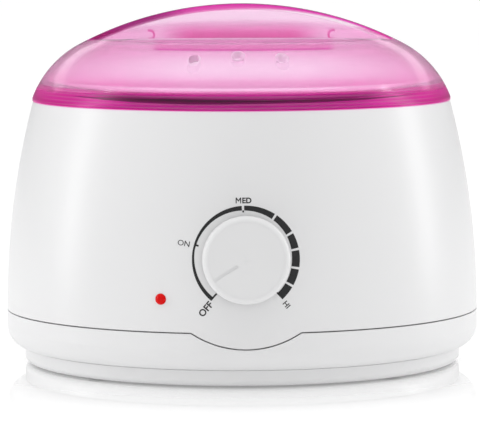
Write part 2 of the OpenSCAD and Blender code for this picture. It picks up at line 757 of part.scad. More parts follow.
module thermostat_nut() {
    color("silver") at_panel() translate([0, 0, nut_gap]) difference() {
        cylinder(r = 7.5, h = nut_t, $fn = 6);
        translate([0, 0, -1]) cylinder(r = bush_r + hole_clear, h = 6);
    }
}
module ceramic_pin() {
    color("ivory") at_panel() translate([0, 0, pin_top_z - pin_len]) cylinder(r = pin_r, h = pin_len);
}
// Washers of the stack, with the two strips clamped between them
module insulator_stack() {
    tops = [plate_z - plate_t, spring_z - strip_t, bimetal_z - strip_t];
    ends = [spring_z, bimetal_z, stack_end];
    color("ivory") at_panel() for (i = [0 : 2]) translate([0, stack_y, ends[i]])
        ring(stack_r, stack_rivet_r + hole_clear, tops[i] - ends[i]);
}
module stack_rivet() {
    color("silver") at_panel() translate([0, stack_y, 0]) {
        translate([0, 0, stack_end]) cylinder(r = stack_rivet_r, h = plate_z - stack_end);
        translate([0, 0, stack_end - 0.8]) cylinder(r = 2.4, h = 0.8);
    }
}
module strip(z, low, high) {
    at_panel() difference() {
        translate([-3, low, z - strip_t]) cube([6, high - low, strip_t]);
        translate([0, stack_y, z - 2]) cylinder(r = stack_rivet_r + hole_clear, h = 4);
    }
}
terminal_y = stack_y + 9;
contact_y = -7;
module contact_spring() { color("goldenrod") strip(spring_z, contact_y - 2, terminal_y); }
module bimetal_strip() { color("darkgoldenrod") strip(bimetal_z, contact_y - 2, terminal_y); }
module contact_buttons() {
    half = (spring_z - strip_t - bimetal_z) / 2 - 0.15;
    color("silver") at_panel() {
        translate([0, contact_y, spring_z - strip_t - half]) cylinder(r = 1.6, h = half);
        translate([0, contact_y, bimetal_z]) cylinder(r = 1.6, h = half);
    }
}

// ---- Indicator lamp ----

lens_flange_r = 3.4;
lens_flange_z = -wall - 0.15;
lens_dome = 1.1;
module indicator_lens() {
    dome_r = (pow(lens_r, 2) + pow(lens_dome, 2)) / (2 * lens_dome);
    color("red") at_lamp() difference() {
        union() {
            translate([0, 0, lens_flange_z - 4]) cylinder(r = lens_r, h = 4.2 - lens_flange_z);
            translate([0, 0, lens_flange_z - 1]) cylinder(r = lens_flange_r, h = 1);
            intersection() {
                translate([0, 0, 0.2 + lens_dome - dome_r]) sphere(r = dome_r);
                cylinder(r = lens_r, h = 4);
            }
        }
        translate([0, 0, lens_flange_z - 5]) cylinder(r = lens_r - 0.7, h = 6.6);
    }
}
lamp_bulb_r = 1.2;
lamp_len = 9;
module lamp_retainer() {
    color("silver") at_lamp() translate([0, 0, lens_flange_z - 1.6]) ring(4, lens_r + hole_clear, 0.6);
}
module neon_lamp() {
    color("orange", 0.6) at_lamp() translate([0, 0, lens_flange_z - lamp_len]) {
        cylinder(r = lamp_bulb_r, h = lamp_len);
        translate([0, 0, lamp_len]) sphere(r = lamp_bulb_r, $fn = 32);
    }
}

// ---- Wiring ----

gland_flange_r = 6.4;
gland_flange_t = 1.6;
gland_thread_r = 4.8;
gland_in = 9;
module cord_gland() {
    color("black") at_inlet() difference() {
        union() {
            translate([0, 0, 0.05]) cylinder(r = gland_flange_r, h = gland_flange_t);
            translate([0, 0, -gland_in]) cylinder(r = gland_thread_r, h = gland_in + 1);
        }
        translate([0, 0, -gland_in - 1]) cylinder(r = inlet_bore_r, h = gland_in + 4);
    }
}
module gland_nut() {
    color("black") at_inlet() translate([0, 0, -wall - 3 - 0.45]) difference() {
        cylinder(r = 7.4, h = 3, $fn = 6);
        translate([0, 0, -1]) cylinder(r = gland_thread_r + hole_clear, h = 6);
    }
}
block_y = base_inner_r - 15.5;
block_lift = 2;
block_w = 18;
block_d = 12;
block_h = 12;
block_foot_w = 33;
block_foot_h = 3;
block_screw_x = 12.8;
block_screw_r = 1.4;
block_bore_r = 1.7;
block_bore_x = 4.5;
block_z = base_floor_z + block_lift;
block_bore_z = block_z + 4.2;
block_screw_l = block_h - 4.2 - block_bore_r;
module terminal_block() {
    color("ivory") difference() {
        union() {
            translate([-block_w / 2, block_y - block_d / 2, block_z]) cube([block_w, block_d, block_h]);
            translate([-block_foot_w / 2, block_y - 4, block_z]) cube([block_foot_w, 8, block_foot_h]);
        }
        for (x = [-1, 1]) {
            translate([x * block_bore_x, block_y, block_bore_z]) rotate([90, 0, 0])
                cylinder(r = block_bore_r, h = block_d + 2, center = true);
            translate([x * block_bore_x, block_y, block_bore_z]) cylinder(r = block_screw_r + hole_clear, h = 20);
            translate([x * block_screw_x, block_y, block_z - 1]) cylinder(r = block_screw_r + hole_clear, h = 20);
        }
    }
}
module terminal_screws() {
    head = 1.2;
    color("silver") for (x = [-1, 1]) {
        translate([x * block_bore_x, block_y, block_z + block_h + head]) rotate([180, 0, 0])
            screw(block_screw_r, block_screw_l, 2.4, head);
        translate([x * block_screw_x, block_y, block_z + block_foot_h + head]) rotate([180, 0, 0])
            screw(block_screw_r, block_screw_l, 2.4, head);
    }
}
fuse_r = 2;
fuse_l = 12;
fuse_x = -12;
fuse_y = 10;
fuse_tail = 6;
clip_t = 0.5;
fuse_cz = well_floor_z - fit_gap - fuse_r;
module thermal_fuse() {
    color("silver") translate([fuse_x, fuse_y, fuse_cz]) rotate([90, 0, 0]) {
        cylinder(r = fuse_r, h = fuse_l, center = true);
        cylinder(r = 0.5, h = fuse_l + 2 * fuse_tail, center = true, $fn = 24);
    }
}
module fuse_clip() {
    room = fuse_r + fit_gap;
    color("silver") translate([fuse_x, fuse_y, 0]) difference() {
        union() {
            translate([0, 0, fuse_cz]) rotate([90, 0, 0]) cylinder(r = room + clip_t, h = 6, center = true);
            translate([-room - clip_t, -3, fuse_cz]) cube([2 * (room + clip_t), 6, well_floor_z - fuse_cz]);
            translate([-7, -3, well_floor_z - clip_t]) cube([14, 6, clip_t]);
        }
        translate([0, 0, fuse_cz]) rotate([90, 0, 0]) cylinder(r = room, h = 20, center = true);
        translate([-room, -10, fuse_cz]) cube([2 * room, 20, 20]);
        translate([-10, -10, well_floor_z]) cube(20);
    }
}

// A point behind the dial, in the frame of the whole part
function panel_point(p) = let (t = side_tilt(dial_z))
    [p[0], -panel_r - p[2] * cos(t) + p[1] * sin(t), dial_z + p[2] * sin(t) + p[1] * cos(t)];
// A point behind the indicator lamp, in the same way
function lamp_point(x, z) = let (t = side_tilt(lamp_z), r = lamp_r + z * cos(t))
    [x * cos(lamp_az) - r * sin(lamp_az), -x * sin(lamp_az) - r * cos(lamp_az), lamp_z + z * sin(t)];
function up(p, h) = [p[0], p[1], h];

strip_mid = [spring_z - strip_t / 2, bimetal_z - strip_t / 2];
strip_edge = 3.2;
track_r = strap_inner_r + strap_t + 5;      // leads run round the heater at this radius
tag_r = heater_outer_r + tag_len / 2;
under_z = (well_floor_z + shield_z) / 2;
lamp_lead_r = 0.6;
block_out = block_y - block_d / 2 + 1;
riser_y = max(shield_r, well_outer_r) + lead_r + 0.8;

module live_lead() {
    start = [-block_bore_x, block_out, block_bore_z];
    fuse_in = [fuse_x, fuse_y + fuse_l / 2 + fuse_tail + rest_gap, fuse_cz];
    fuse_out = [fuse_x, fuse_y - fuse_l / 2 - fuse_tail - rest_gap, fuse_cz];
    finish = panel_point([-strip_edge, stack_y + 7, strip_mid[0]]);
    color("firebrick") {
        lead([start, [-block_bore_x, riser_y, block_bore_z], [-block_bore_x, riser_y, under_z],
            fuse_in + [0, 8, under_z - fuse_cz], fuse_in], lead_r);
        lead([fuse_out, fuse_out + [0, -8, under_z - fuse_cz], [-9, -track_r, under_z],
            [-9, -track_r - 3, under_z + 6], up([-9, -track_r - 3, 0], finish[2]), finish - [2, 0, 0], finish],
            lead_r);
    }
}
module heater_lead() {
    start = panel_point([strip_edge, stack_y + 7, strip_mid[1]]);
    color("firebrick") lead([start, start + [5, 0, 0.5], [13, -track_r, start[2] + 1.5],
        polar(track_r, 315) + [0, 0, tag_z + 1], polar(track_r, 330) + [0, 0, tag_z + 4], polar(tag_r, terminal_az[1]) + [0, 0, tag_z + 1 + lead_r]], lead_r);
}
module neutral_lead() {
    start = [block_bore_x, block_out, block_bore_z];
    color("royalblue") lead([start, [block_bore_x, riser_y, block_bore_z], [block_bore_x, riser_y, under_z + 2],
        [-5, track_r, under_z + 6], polar(track_r + 1, 120) + [0, 0, under_z + 8], polar(track_r + 1, 160) + [0, 0, under_z + 18],
        polar(track_r + 1, 188) + [0, 0, tag_z + 4], polar(tag_r, terminal_az[0]) + [0, 0, tag_z + 1 + lead_r]], lead_r);
}
lamp_end = lens_flange_z - lamp_len - rest_gap;
resistor_l = 7;
resistor_r = 1.3;
res_from = polar(track_r + 3, 237) + [0, 0, lamp_z + 2];
res_way = polar(track_r + 2, 215) + [0, 0, lamp_z + 14];
res_dir = (res_way - res_from) / norm(res_way - res_from);
res_to = res_from + resistor_l * res_dir;
module lamp_resistor() {
    color("burlywood") rod(res_from, res_to, resistor_r);
}
module lamp_leads() {
    strip_end = panel_point([-strip_edge, stack_y + 5.5, strip_mid[1]]);
    color("dimgray") {
        lead([lamp_point(-0.65, lamp_end), lamp_point(-1.5, lamp_end - 3), res_from - res_dir * rest_gap], lamp_lead_r);
        lead([res_to + res_dir * rest_gap, res_way, polar(tag_r, terminal_az[0]) + [0, 0, tag_z - 6],
            polar(tag_r, terminal_az[0]) + [0, 0, tag_z - rest_gap]], lamp_lead_r);
        lead([lamp_point(0.65, lamp_end), lamp_point(4, lamp_end - 3), panel_point([-7, 2, strip_mid[1] - 3]),
            panel_point([-6.5, stack_y + 4, strip_mid[1] - 1]), strip_end - [1.4, 0, 0], strip_end], lamp_lead_r);
    }
}

upper_housing();
base_shell();
bottom_cover();
rubber_feet();
base_screws();
heater_well();
well_gasket();
well_screws();
mica_heater();
heater_strap();
strap_screw();
strap_nut();
heat_shield();
shield_screws();
inner_pot();
pot_ears();
ear_rivets();
bail_handle();
lid();
control_knob();
knob_spring();
thermostat_shaft();
thermostat_frame();
thermostat_nut();
ceramic_pin();
insulator_stack();
stack_rivet();
contact_spring();
bimetal_strip();
contact_buttons();
indicator_lens();
lamp_retainer();
neon_lamp();
lamp_resistor();
thermal_fuse();
fuse_clip();
terminal_block();
terminal_screws();
cord_gland();
gland_nut();
live_lead();
heater_lead();
neutral_lead();
lamp_leads();
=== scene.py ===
"""A wax warmer: white housing, clear pink lid, front dial, lift-out pot."""

import json
import math

import bmesh
import bpy
from mathutils import Matrix, Vector


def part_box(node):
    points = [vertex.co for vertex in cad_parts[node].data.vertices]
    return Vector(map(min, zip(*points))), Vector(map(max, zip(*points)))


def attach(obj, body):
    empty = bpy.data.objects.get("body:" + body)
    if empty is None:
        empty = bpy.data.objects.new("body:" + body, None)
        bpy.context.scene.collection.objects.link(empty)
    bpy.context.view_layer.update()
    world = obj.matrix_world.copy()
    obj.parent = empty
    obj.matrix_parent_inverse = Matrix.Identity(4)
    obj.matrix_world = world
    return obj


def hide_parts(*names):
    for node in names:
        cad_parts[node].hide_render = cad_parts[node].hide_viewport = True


bl_info = {
    "name": "Wax warmer",
    "version": (1, 0, 0),
    "blender": (4, 5, 0),
    "location": "View3D > Sidebar > Warmer",
    "description": "Dresses the packed wax warmer with its finishes, prints and clear lid",
    "category": "Object",
}

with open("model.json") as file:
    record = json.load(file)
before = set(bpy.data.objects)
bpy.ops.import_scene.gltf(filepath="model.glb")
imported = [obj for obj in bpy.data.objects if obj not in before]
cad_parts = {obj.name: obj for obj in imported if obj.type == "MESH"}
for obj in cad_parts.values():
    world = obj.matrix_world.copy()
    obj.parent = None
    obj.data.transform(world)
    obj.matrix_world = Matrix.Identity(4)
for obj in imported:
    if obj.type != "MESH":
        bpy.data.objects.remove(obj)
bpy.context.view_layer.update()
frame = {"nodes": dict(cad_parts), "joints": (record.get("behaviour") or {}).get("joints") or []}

MM = 0.001


# ---- Measures taken from the frame ----

HOUSING_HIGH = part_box("upper_housing")[1]
BODY_R = HOUSING_HIGH[0]
RIM_Z = HOUSING_HIGH[2]
LID_LOW, LID_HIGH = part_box("lid")
JOINTS = {joint["name"]: joint for joint in frame["joints"]}
DIAL = Vector(JOINTS["knob_turn"]["pos_m"])
INWARD = Vector(JOINTS["knob_turn"]["axis"])
TILT = math.asin(-INWARD[2])

# The housing's side is one arc, widest at this height
SIDE_ARC_R = 308 * MM
WIDEST_Z = 20.7 * MM


def side_r(z):
    """Radius of the housing's outer face at a height."""
    return BODY_R - SIDE_ARC_R + math.sqrt(SIDE_ARC_R**2 - (z - WIDEST_Z) ** 2)


# ---- Measures of the lid ----

LID_TURN = math.radians(-2)
LID_WALL = 2.2 * MM
LID_TOP = LID_HIGH[2]
LID_SEAT = RIM_Z + 0.2 * MM
LID_R = side_r(RIM_Z) + 0.2 * MM
SHOULDER_R = 38.3 * MM
SHOULDER_DROP = 12.4 * MM
DOME_CLIP = 0.44 * MM
BAND_TOP = RIM_Z + 5.6 * MM
SKIRT_OUTER = side_r(RIM_Z) - 2.95 * MM
SKIRT_INNER = SKIRT_OUTER - 1.9 * MM
SKIRT_LOW = LID_LOW[2]
HOLLOW_END = BAND_TOP + 1.5 * MM
HOLLOW_CORNER = ((SKIRT_INNER + 0.9 * MM, BAND_TOP + 0.7 * MM), (SKIRT_INNER, BAND_TOP - 0.4 * MM))
GRIP_HALF = 5.5 * MM
GRIP_ROUND = 1.7 * MM
GRIP_ROUND_X = 52 * MM
POCKET_R = LID_R - 19.9 * MM
POCKET_SHIFT = 6.6 * MM
POCKET_FLOOR = LID_TOP - 15 * MM
POCKET_ROUND = 1.2 * MM
GRIP_EDGE_LOW = POCKET_FLOOR + 4 * MM
LIP_LOW = POCKET_FLOOR - 1 * MM
LIP_ROUND = 0.6 * MM
LIP_FOLD = math.radians(24)
VENT_R = 2.1 * MM
VENT_PITCH = 16 * MM
VENT_Y = LID_R - 14.9 * MM
VENT_CUT = 40 * MM
CUT_CLEAR = 1 * MM
CUT_ABOVE = 5 * MM
TURNS = 192
CROWN_STEPS, SHOULDER_STEPS = 24, 30


def crown_arc():
    """Radius of the crown's arc and the height of its centre."""
    x = LID_R + DOME_CLIP - math.sqrt(SHOULDER_R**2 - SHOULDER_DROP**2)
    rise = LID_TOP - RIM_Z + SHOULDER_DROP
    radius = (x**2 + rise**2 - SHOULDER_R**2) / (2 * (rise - SHOULDER_R))
    return radius, LID_TOP - radius


# ---- Where the lid is tinted, and how deep from 0 to 1 ----

EDGE_THICK, EDGE_TAPER = 2.6 * MM, 1.6 * MM
EDGE_TAPER_X = (-10 * MM, 45 * MM)
EDGE_SOFT = 0.6
EDGE_Y = 7.5 * MM
EDGE_DARK, EDGE_DARK_X = 0.6, (-15 * MM, -35 * MM)
WALL_HALF_X, WALL_FADE = 31 * MM, 3.5 * MM
WALL_HALF_Z, WALL_MIDDLE = 1.9 * MM, POCKET_FLOOR + 1.3 * MM
WALL_Y, WALL_BELOW = -30 * MM, 1 * MM
NEAR_REACH = 34 * MM
BAND_RISE = 1.5 * MM
BAND_FADE = (BAND_TOP + 0.3 * MM, BAND_TOP - 0.8 * MM)
STRIPE_PITCH = 1.3 * MM
# Painted shade of the gap round the pot: its height and dip at the front, its half height and its taper
GAP_Z, GAP_DIP = RIM_Z + 4.3 * MM, 1 * MM
GAP_HALF, GAP_TAPER, GAP_TAPER_X = 1 * MM, 0.45, (-30 * MM, 15 * MM)
BAR_Y, BAR_BELOW, BAR_LOW = 8 * MM, 0.5 * MM, POCKET_FLOOR - 3 * MM
FACE_Z = (POCKET_FLOOR + 9 * MM, POCKET_FLOOR + 2 * MM)
MIDDLE_X = (18 * MM, 34 * MM)
SIDES_X = (15 * MM, 65 * MM)
LIMB_OUT, LIMB_Y = (68 * MM, LID_R), 20 * MM
DOME_Z = (POCKET_FLOOR - 10 * MM, POCKET_FLOOR)
# Round the steam vents the lid gets painted light: the mask's radius and the lid's turn
VENT_MARK_R, VENT_SHIFT = 2.5 * MM, 2.2 * MM
# The front pocket's lip, which gets a painted highlight: its half width, reach to the front and depth under
# the dome
LIP_HALF, LIP_Y, LIP_BELOW = 0.9 * MM, -20 * MM, 1.2 * MM
HOOK_X, HOOK_Z = 35 * MM, POCKET_FLOOR + 3 * MM
HOOK_R, HOOK_HALF, HOOK_END = 1.8 * MM, 0.35 * MM, 0.6 * MM
SATIN_IN, SATIN_BELOW = 1 * MM, 1.5 * MM

TINT = {
    "turned_away": 0.65, "ripple": 0.03, "sides": 0.13, "limb": 0.2, "dome": 0.1,
    "band": 0.72, "stripes": 0.26, "pocket_wall": 0.3, "wall_foot": 0.4,
    "bar_face": 0.02, "bar_middle": 0.5, "hooks": 0.6, "bar_edge": 0.9,
}
TURN_POWER = 2.2
# Shares of tint taken off round the vents, as painted light, and on the bar
VENT_PAINTED_LIGHT, BAR_PALER = 0.8, 0.9
# How near white the bar and the lip's painted highlight go
BRIGHT_TINT = 0.6
# How much less clear the lid is round the vents, part of the same painted light
VENT_MILKY = 0.5
ROUGH = {"skin": 0.13, "haze": 0.03, "pockets": 0.42, "band": 0.14, "milky": 0.07}


# ---- Settings ----


class StageSettings(bpy.types.PropertyGroup):
    """Camera and light."""

    camera_distance: bpy.props.FloatProperty(
        name="Camera distance", description="How far the camera stands from the axis",
        default=1.3327, unit="LENGTH")
    camera_height: bpy.props.FloatProperty(
        name="Camera height", description="Height of the camera over the table",
        default=0.17267, unit="LENGTH")
    camera_side: bpy.props.FloatProperty(
        name="Camera side shift", description="How far the camera stands to the right",
        default=-0.0007, unit="LENGTH")
    camera_pitch: bpy.props.FloatProperty(
        name="Camera pitch", description="How far the camera looks down",
        default=0.088, unit="ROTATION")
    camera_roll: bpy.props.FloatProperty(
        name="Camera roll", description="How far the picture leans",
        default=0.0037, unit="ROTATION")
    camera_yaw: bpy.props.FloatProperty(
        name="Camera yaw", description="How far the camera stands round to the left",
        default=0.0157, unit="ROTATION")
    lens: bpy.props.FloatProperty(
        name="Lens", description="Focal length of the camera",
        default=261.3, unit="CAMERA")
    world_strength: bpy.props.FloatProperty(
        name="World light", description="Strength of the even light all round",
        default=0.75)
    flag_strength: bpy.props.FloatProperty(
        name="Back light", description="Strength of the light that gloss mirrors from behind",
        default=0.25)
    streak_power: bpy.props.FloatProperty(
        name="Side light", description="Power of each tall side light",
        default=1.9, unit="POWER")
    shoulder_power: bpy.props.FloatProperty(
        name="Shoulder light", description="Power of each wide light behind the lid",
        default=1.8, unit="POWER")
    top_power: bpy.props.FloatProperty(
        name="Top light", description="Power of the wide light overhead",
        default=2.0, unit="POWER")


class FinishSettings(bpy.types.PropertyGroup):
    """Colours of the finishes."""

    shell: bpy.props.FloatVectorProperty(
        name="Shell", description="Colour of the white housing",
        subtype="COLOR", size=3, default=(0.80, 0.80, 0.805))
    lid: bpy.props.FloatVectorProperty(
        name="Lid edge", description="Tint of the lid where it is seen edge on",
        subtype="COLOR", size=3, default=(0.80, 0.015, 0.44))
    lid_skin: bpy.props.FloatVectorProperty(
        name="Lid face", description="Tint of the lid where it faces the eye",
        subtype="COLOR", size=3, default=(1.0, 0.865, 0.97))
    # Painted shade: tint of the shaded gap round the pot seen through the band, and of a dark line on the
    # left of the bar's edge
    lid_dark: bpy.props.FloatVectorProperty(
        name="Lid gap", description="Tint of the lid's darkest lines",
        subtype="COLOR", size=3, default=(0.12, 0.0, 0.06))
    lid_clear: bpy.props.FloatProperty(
        name="Lid clearness", description="How clear the lid is, between milky and glassy",
        default=0.84, min=0, max=1, subtype="FACTOR")
    ink: bpy.props.FloatVectorProperty(
        name="Ink", description="Colour of the dial's print",
        subtype="COLOR", size=3, default=(0.014, 0.014, 0.015))
    lamp: bpy.props.FloatVectorProperty(
        name="Lamp", description="Colour of the indicator lens",
        subtype="COLOR", size=3, default=(0.62, 0.004, 0.004))


class DialSettings(bpy.types.PropertyGroup):
    """Sizes of the dial's print."""

    ring_r: bpy.props.FloatProperty(
        name="Ring radius", description="Outer radius of the scale ring",
        default=19.4 * MM, unit="LENGTH")
    ring_thin: bpy.props.FloatProperty(
        name="Ring's least width", description="Width of the ring at its thinnest",
        default=0.72 * MM, unit="LENGTH")
    ring_thick: bpy.props.FloatProperty(
        name="Ring's greatest width", description="Width of the ring towards its hottest mark",
        default=2.86 * MM, unit="LENGTH")
    gap_angle: bpy.props.FloatProperty(
        name="Gap", description="Angle of each gap in the ring",
        default=math.radians(2.6), unit="ROTATION")
    ink_height: bpy.props.FloatProperty(
        name="Ink height", description="How far the print stands on the shell",
        default=0.04 * MM, unit="LENGTH")


# ---- Shader maths ----


class Sock:
    """A shader socket on which plain arithmetic adds Math nodes."""

    def __init__(self, shader, socket):
        self.shader = shader
        self.socket = socket

    def _math(self, operation, *values):
        return self.shader.node("ShaderNodeMath", {"operation": operation}, dict(enumerate(values))).out()

    def __add__(self, other):
        return self._math("ADD", self, other)

    def __sub__(self, other):
        return self._math("SUBTRACT", self, other)

    def __mul__(self, other):
        return self._math("MULTIPLY", self, other)

    def __truediv__(self, other):
        return self._math("DIVIDE", self, other)

    def __pow__(self, other):
        return self._math("POWER", self, other)

    def __gt__(self, other):
        return self._math("GREATER_THAN", self, other)

    def __lt__(self, other):
        return self._math("LESS_THAN", self, other)

    def __radd__(self, other):
        return self._math("ADD", other, self)

    def __rsub__(self, other):
        return self._math("SUBTRACT", other, self)

    def __rmul__(self, other):
        return self._math("MULTIPLY", other, self)

    def __rtruediv__(self, other):
        return self._math("DIVIDE", other, self)

    def __abs__(self):
        return self._math("ABSOLUTE", self)

    def sine(self):
        """The sine of this value, in radians."""
        return self._math("SINE", self)

    def clamp(self):
        """This value, kept between 0 and 1."""
        return self._math("MINIMUM", self._math("MAXIMUM", self, 0.0), 1.0)


class Node:
    """A shader node that gives its outputs as Socks."""

    def __init__(self, shader, made):
        self.shader = shader
        self.made = made

    def out(self, name=0):
        """One output, by name or number."""
        return Sock(self.shader, self.made.outputs[name])


class Shader:
    """Builds a material's or the world's node tree."""

    def __init__(self, owner):
        owner.use_nodes = True
        self.tree = owner.node_tree
        self.tree.nodes.clear()
        self.column = 0

    def node(self, kind, settings=None, inputs=None):
        """Adds a node: its settings first, then the values or links of its sockets."""
        made = self.tree.nodes.new(kind)
        made.location = (self.column * 180, 0)
        self.column += 1
        for name, value in (settings or {}).items():
            if name == "stops":
                ramp = made.color_ramp.elements
                while len(ramp) < len(value):
                    ramp.new(0.5)
                for stop, (place, colour) in zip(ramp, value):
                    stop.position = place
                    stop.color = (*colour, 1.0)
            else:
                setattr(made, name, value)
        for name, value in (inputs or {}).items():
            self.feed(made.inputs[name], value)
        return Node(self, made)

    def feed(self, socket, value):
        """Links a Sock to a socket, or sets the socket's own value."""
        if isinstance(value, Sock):
            self.tree.links.new(value.socket, socket)
        elif hasattr(value, "__len__") and len(value) == 3 and socket.type == "RGBA":
            socket.default_value = (*value, 1.0)
        else:
            socket.default_value = value

    def step(self, value, low, high):
        """0 up to low and 1 from high, with a smooth ramp between."""
        ramp = ((value - low) / (high - low)).clamp()
        return ramp * ramp * (3 - 2 * ramp)

    def length(self, first, second):
        """Length of the hypotenuse of two values."""
        return (first * first + second * second) ** 0.5

    def coordinates(self):
        """Object coordinates."""
        return self.node("ShaderNodeTexCoord").out("Object")

    def noise(self, scale, detail):
        """Noise between 0 and 1: how many features to a metre, and how many finer layers on them."""
        inputs = {"Vector": self.coordinates(), "Scale": scale, "Detail": detail}
        return self.node("ShaderNodeTexNoise", {}, inputs).out(0)

    def ramp(self, value, stops):
        """A colour ramp."""
        return self.node("ShaderNodeValToRGB", {"stops": stops}, {"Fac": value}).out(0)

    def blend(self, factor, first, second):
        """A mix of two colours."""
        made = self.node("ShaderNodeMix", {"data_type": "RGBA"}, {0: factor, 6: first, 7: second})
        return made.out(2)

    def mix(self, factor, first, second):
        """A mix of two shaders."""
        return self.node("ShaderNodeMixShader", {}, {0: factor, 1: first, 2: second}).out(0)

    def bump(self, height, strength, distance):
        """A Bump node's normal."""
        inputs = {"Height": height, "Strength": strength, "Distance": distance}
        return self.node("ShaderNodeBump", {}, inputs).out(0)

    def principled(self, **sockets):
        """The main shader; underscores stand for spaces in its sockets' names."""
        inputs = {name.replace("_", " "): value for name, value in sockets.items()}
        return self.node("ShaderNodeBsdfPrincipled", {}, inputs).out(0)

    def translucent(self, colour):
        """A shader that lets scattered light through."""
        return self.node("ShaderNodeBsdfTranslucent", {}, {"Color": colour}).out(0)

    def background(self, strength):
        """White light of the world."""
        return self.node("ShaderNodeBackground", {}, {"Color": (1, 1, 1), "Strength": strength}).out(0)

    def finish(self, surface, kind="ShaderNodeOutputMaterial"):
        """Connects the surface to the output."""
        self.node(kind, {}, {"Surface": surface})


MATERIALS = {}


def material(name, build):
    """A material made once by build(shader)."""
    if name not in MATERIALS:
        made = bpy.data.materials.new(name)
        build(Shader(made))
        MATERIALS[name] = made
    return MATERIALS[name]


def finishes():
    """The colour settings."""
    return bpy.context.scene.warmer_finish


def darker(colour, share):
    """A colour times a share."""
    return tuple(share * c for c in colour)


# ---- Finishes of the housing, knob, print and lamp ----


def moulded_shell(s):
    """White injection-moulded plastic with a fine orange peel under its gloss."""
    peel = s.noise(scale=420, detail=3)
    drift = s.noise(scale=24, detail=2)
    colour = tuple(finishes().shell)
    s.finish(s.principled(
        Base_Color=s.blend(drift, colour, darker(colour, 0.985)),
        Roughness=0.3 + 0.06 * s.noise(scale=900, detail=2),
        Specular_IOR_Level=0.5,
        Normal=s.bump(peel, strength=0.05, distance=0.2 * MM)))


def moulded_knob(s):
    """White satin plastic of the knob."""
    peel = s.noise(scale=700, detail=3)
    colour = darker(finishes().shell, 0.98)
    s.finish(s.principled(
        Base_Color=s.blend(s.noise(scale=60, detail=2), colour, darker(colour, 0.98)),
        Roughness=0.3 + 0.08 * peel,
        Normal=s.bump(peel, strength=0.04, distance=0.1 * MM)))


def printed_ink(s):
    """Pad-printed ink with slightly uneven cover."""
    ink = tuple(finishes().ink)
    thin = tuple(1.6 * c + 0.01 for c in ink)
    s.finish(s.principled(
        Base_Color=s.blend(s.noise(scale=900, detail=4), ink, thin),
        Roughness=0.42 + 0.1 * s.noise(scale=1500, detail=2),
        Specular_IOR_Level=0.25))


def lamp_red(s):
    """Translucent red lens, faintly lit from within."""
    red = tuple(finishes().lamp)
    s.finish(s.principled(
        Base_Color=s.blend(s.noise(scale=800, detail=2), red, darker(red, 0.7)),
        Roughness=0.12 + 0.05 * s.noise(scale=900, detail=2),
        Subsurface_Weight=0.1,
        Subsurface_Radius=(0.001, 0.0003, 0.0003),
        Specular_IOR_Level=0.12,
        Emission_Color=(0.8, 0.0, 0.0),
        Emission_Strength=0.2))


# ---- Finish of the lid ----


class LidPoint:
    """Where a point lies on the lid, as sockets of the lid's shader."""

    def __init__(self, s):
        axes = s.node("ShaderNodeSeparateXYZ", {}, {0: s.coordinates()})
        self.x, self.y, self.z = axes.out("X"), axes.out("Y"), axes.out("Z")
        self.beside, self.across = abs(self.x), abs(self.y)
        self.out = s.length(self.x, self.y)
        crown_r, crown_z = crown_arc()
        self.below = (crown_r * crown_r - self.out * self.out) ** 0.5 + crown_z - self.z
        self.past_pocket = s.length(self.x, self.across + POCKET_SHIFT) - POCKET_R
        self.near = 1 - ((self.y + LID_R) / NEAR_REACH).clamp()


def bar_edge(s, at):
    """Mask of the grip bar's rounded edge, thicker on the left."""
    reach = EDGE_THICK - EDGE_TAPER * s.step(at.x, *EDGE_TAPER_X)
    return (1 - s.step(at.below, EDGE_SOFT * reach, reach)) * (at.across < EDGE_Y) * (at.z > POCKET_FLOOR)


def grip_bar(at):
    """Mask of the grip bar's faces."""
    return (at.across < BAR_Y) * (at.below > BAR_BELOW) * (at.z > BAR_LOW)


def pocket_wall(s, at):
    """Mask of the front wall of the finger pocket, seen through the dome."""
    ends = 1 - s.step(at.beside - WALL_HALF_X, 0.0, WALL_FADE)
    return ends * (abs(at.z - WALL_MIDDLE) < WALL_HALF_Z) * (at.y < WALL_Y) * (at.below < WALL_BELOW)


def rim_band(s, at):
    """Mask of the thick band over the rim, which stands higher at the front."""
    return s.step(at.z - BAND_RISE * at.near, *BAND_FADE)


def pot_gap_shade(s, at):
    """Mask of the painted shade of the gap round the pot, seen through the band's front and thicker on the
    left.
    """
    half = GAP_HALF * at.near * (1 - GAP_TAPER * s.step(at.x, *GAP_TAPER_X))
    return (abs(at.z - (GAP_Z - GAP_DIP * at.near)) < half) * (at.y < 0)


def vent_marks(s, at):
    """Mask round the three steam vents, where painted light makes the lid paler; the lid's turn carries it
    to one side.
    """
    beside, from_row = abs(at.x + VENT_SHIFT), at.y + VENT_Y
    middle = s.length(beside, from_row) < VENT_MARK_R
    outer = s.length(beside - VENT_PITCH, from_row) < VENT_MARK_R
    return middle + outer


def pocket_lip_highlight(at):
    """Mask of the front pocket's lip, which gets a painted highlight in a pale tint."""
    return (abs(at.past_pocket) < LIP_HALF) * (at.y < LIP_Y) * (at.below < LIP_BELOW)


def bar_hooks(s, at, bar):
    """Mask of the two small hooks in which the bar's face ends."""
    right, up = at.beside - HOOK_X, at.z - HOOK_Z
    return (abs(s.length(right, up) - HOOK_R) < HOOK_HALF) * (right < HOOK_END) * bar


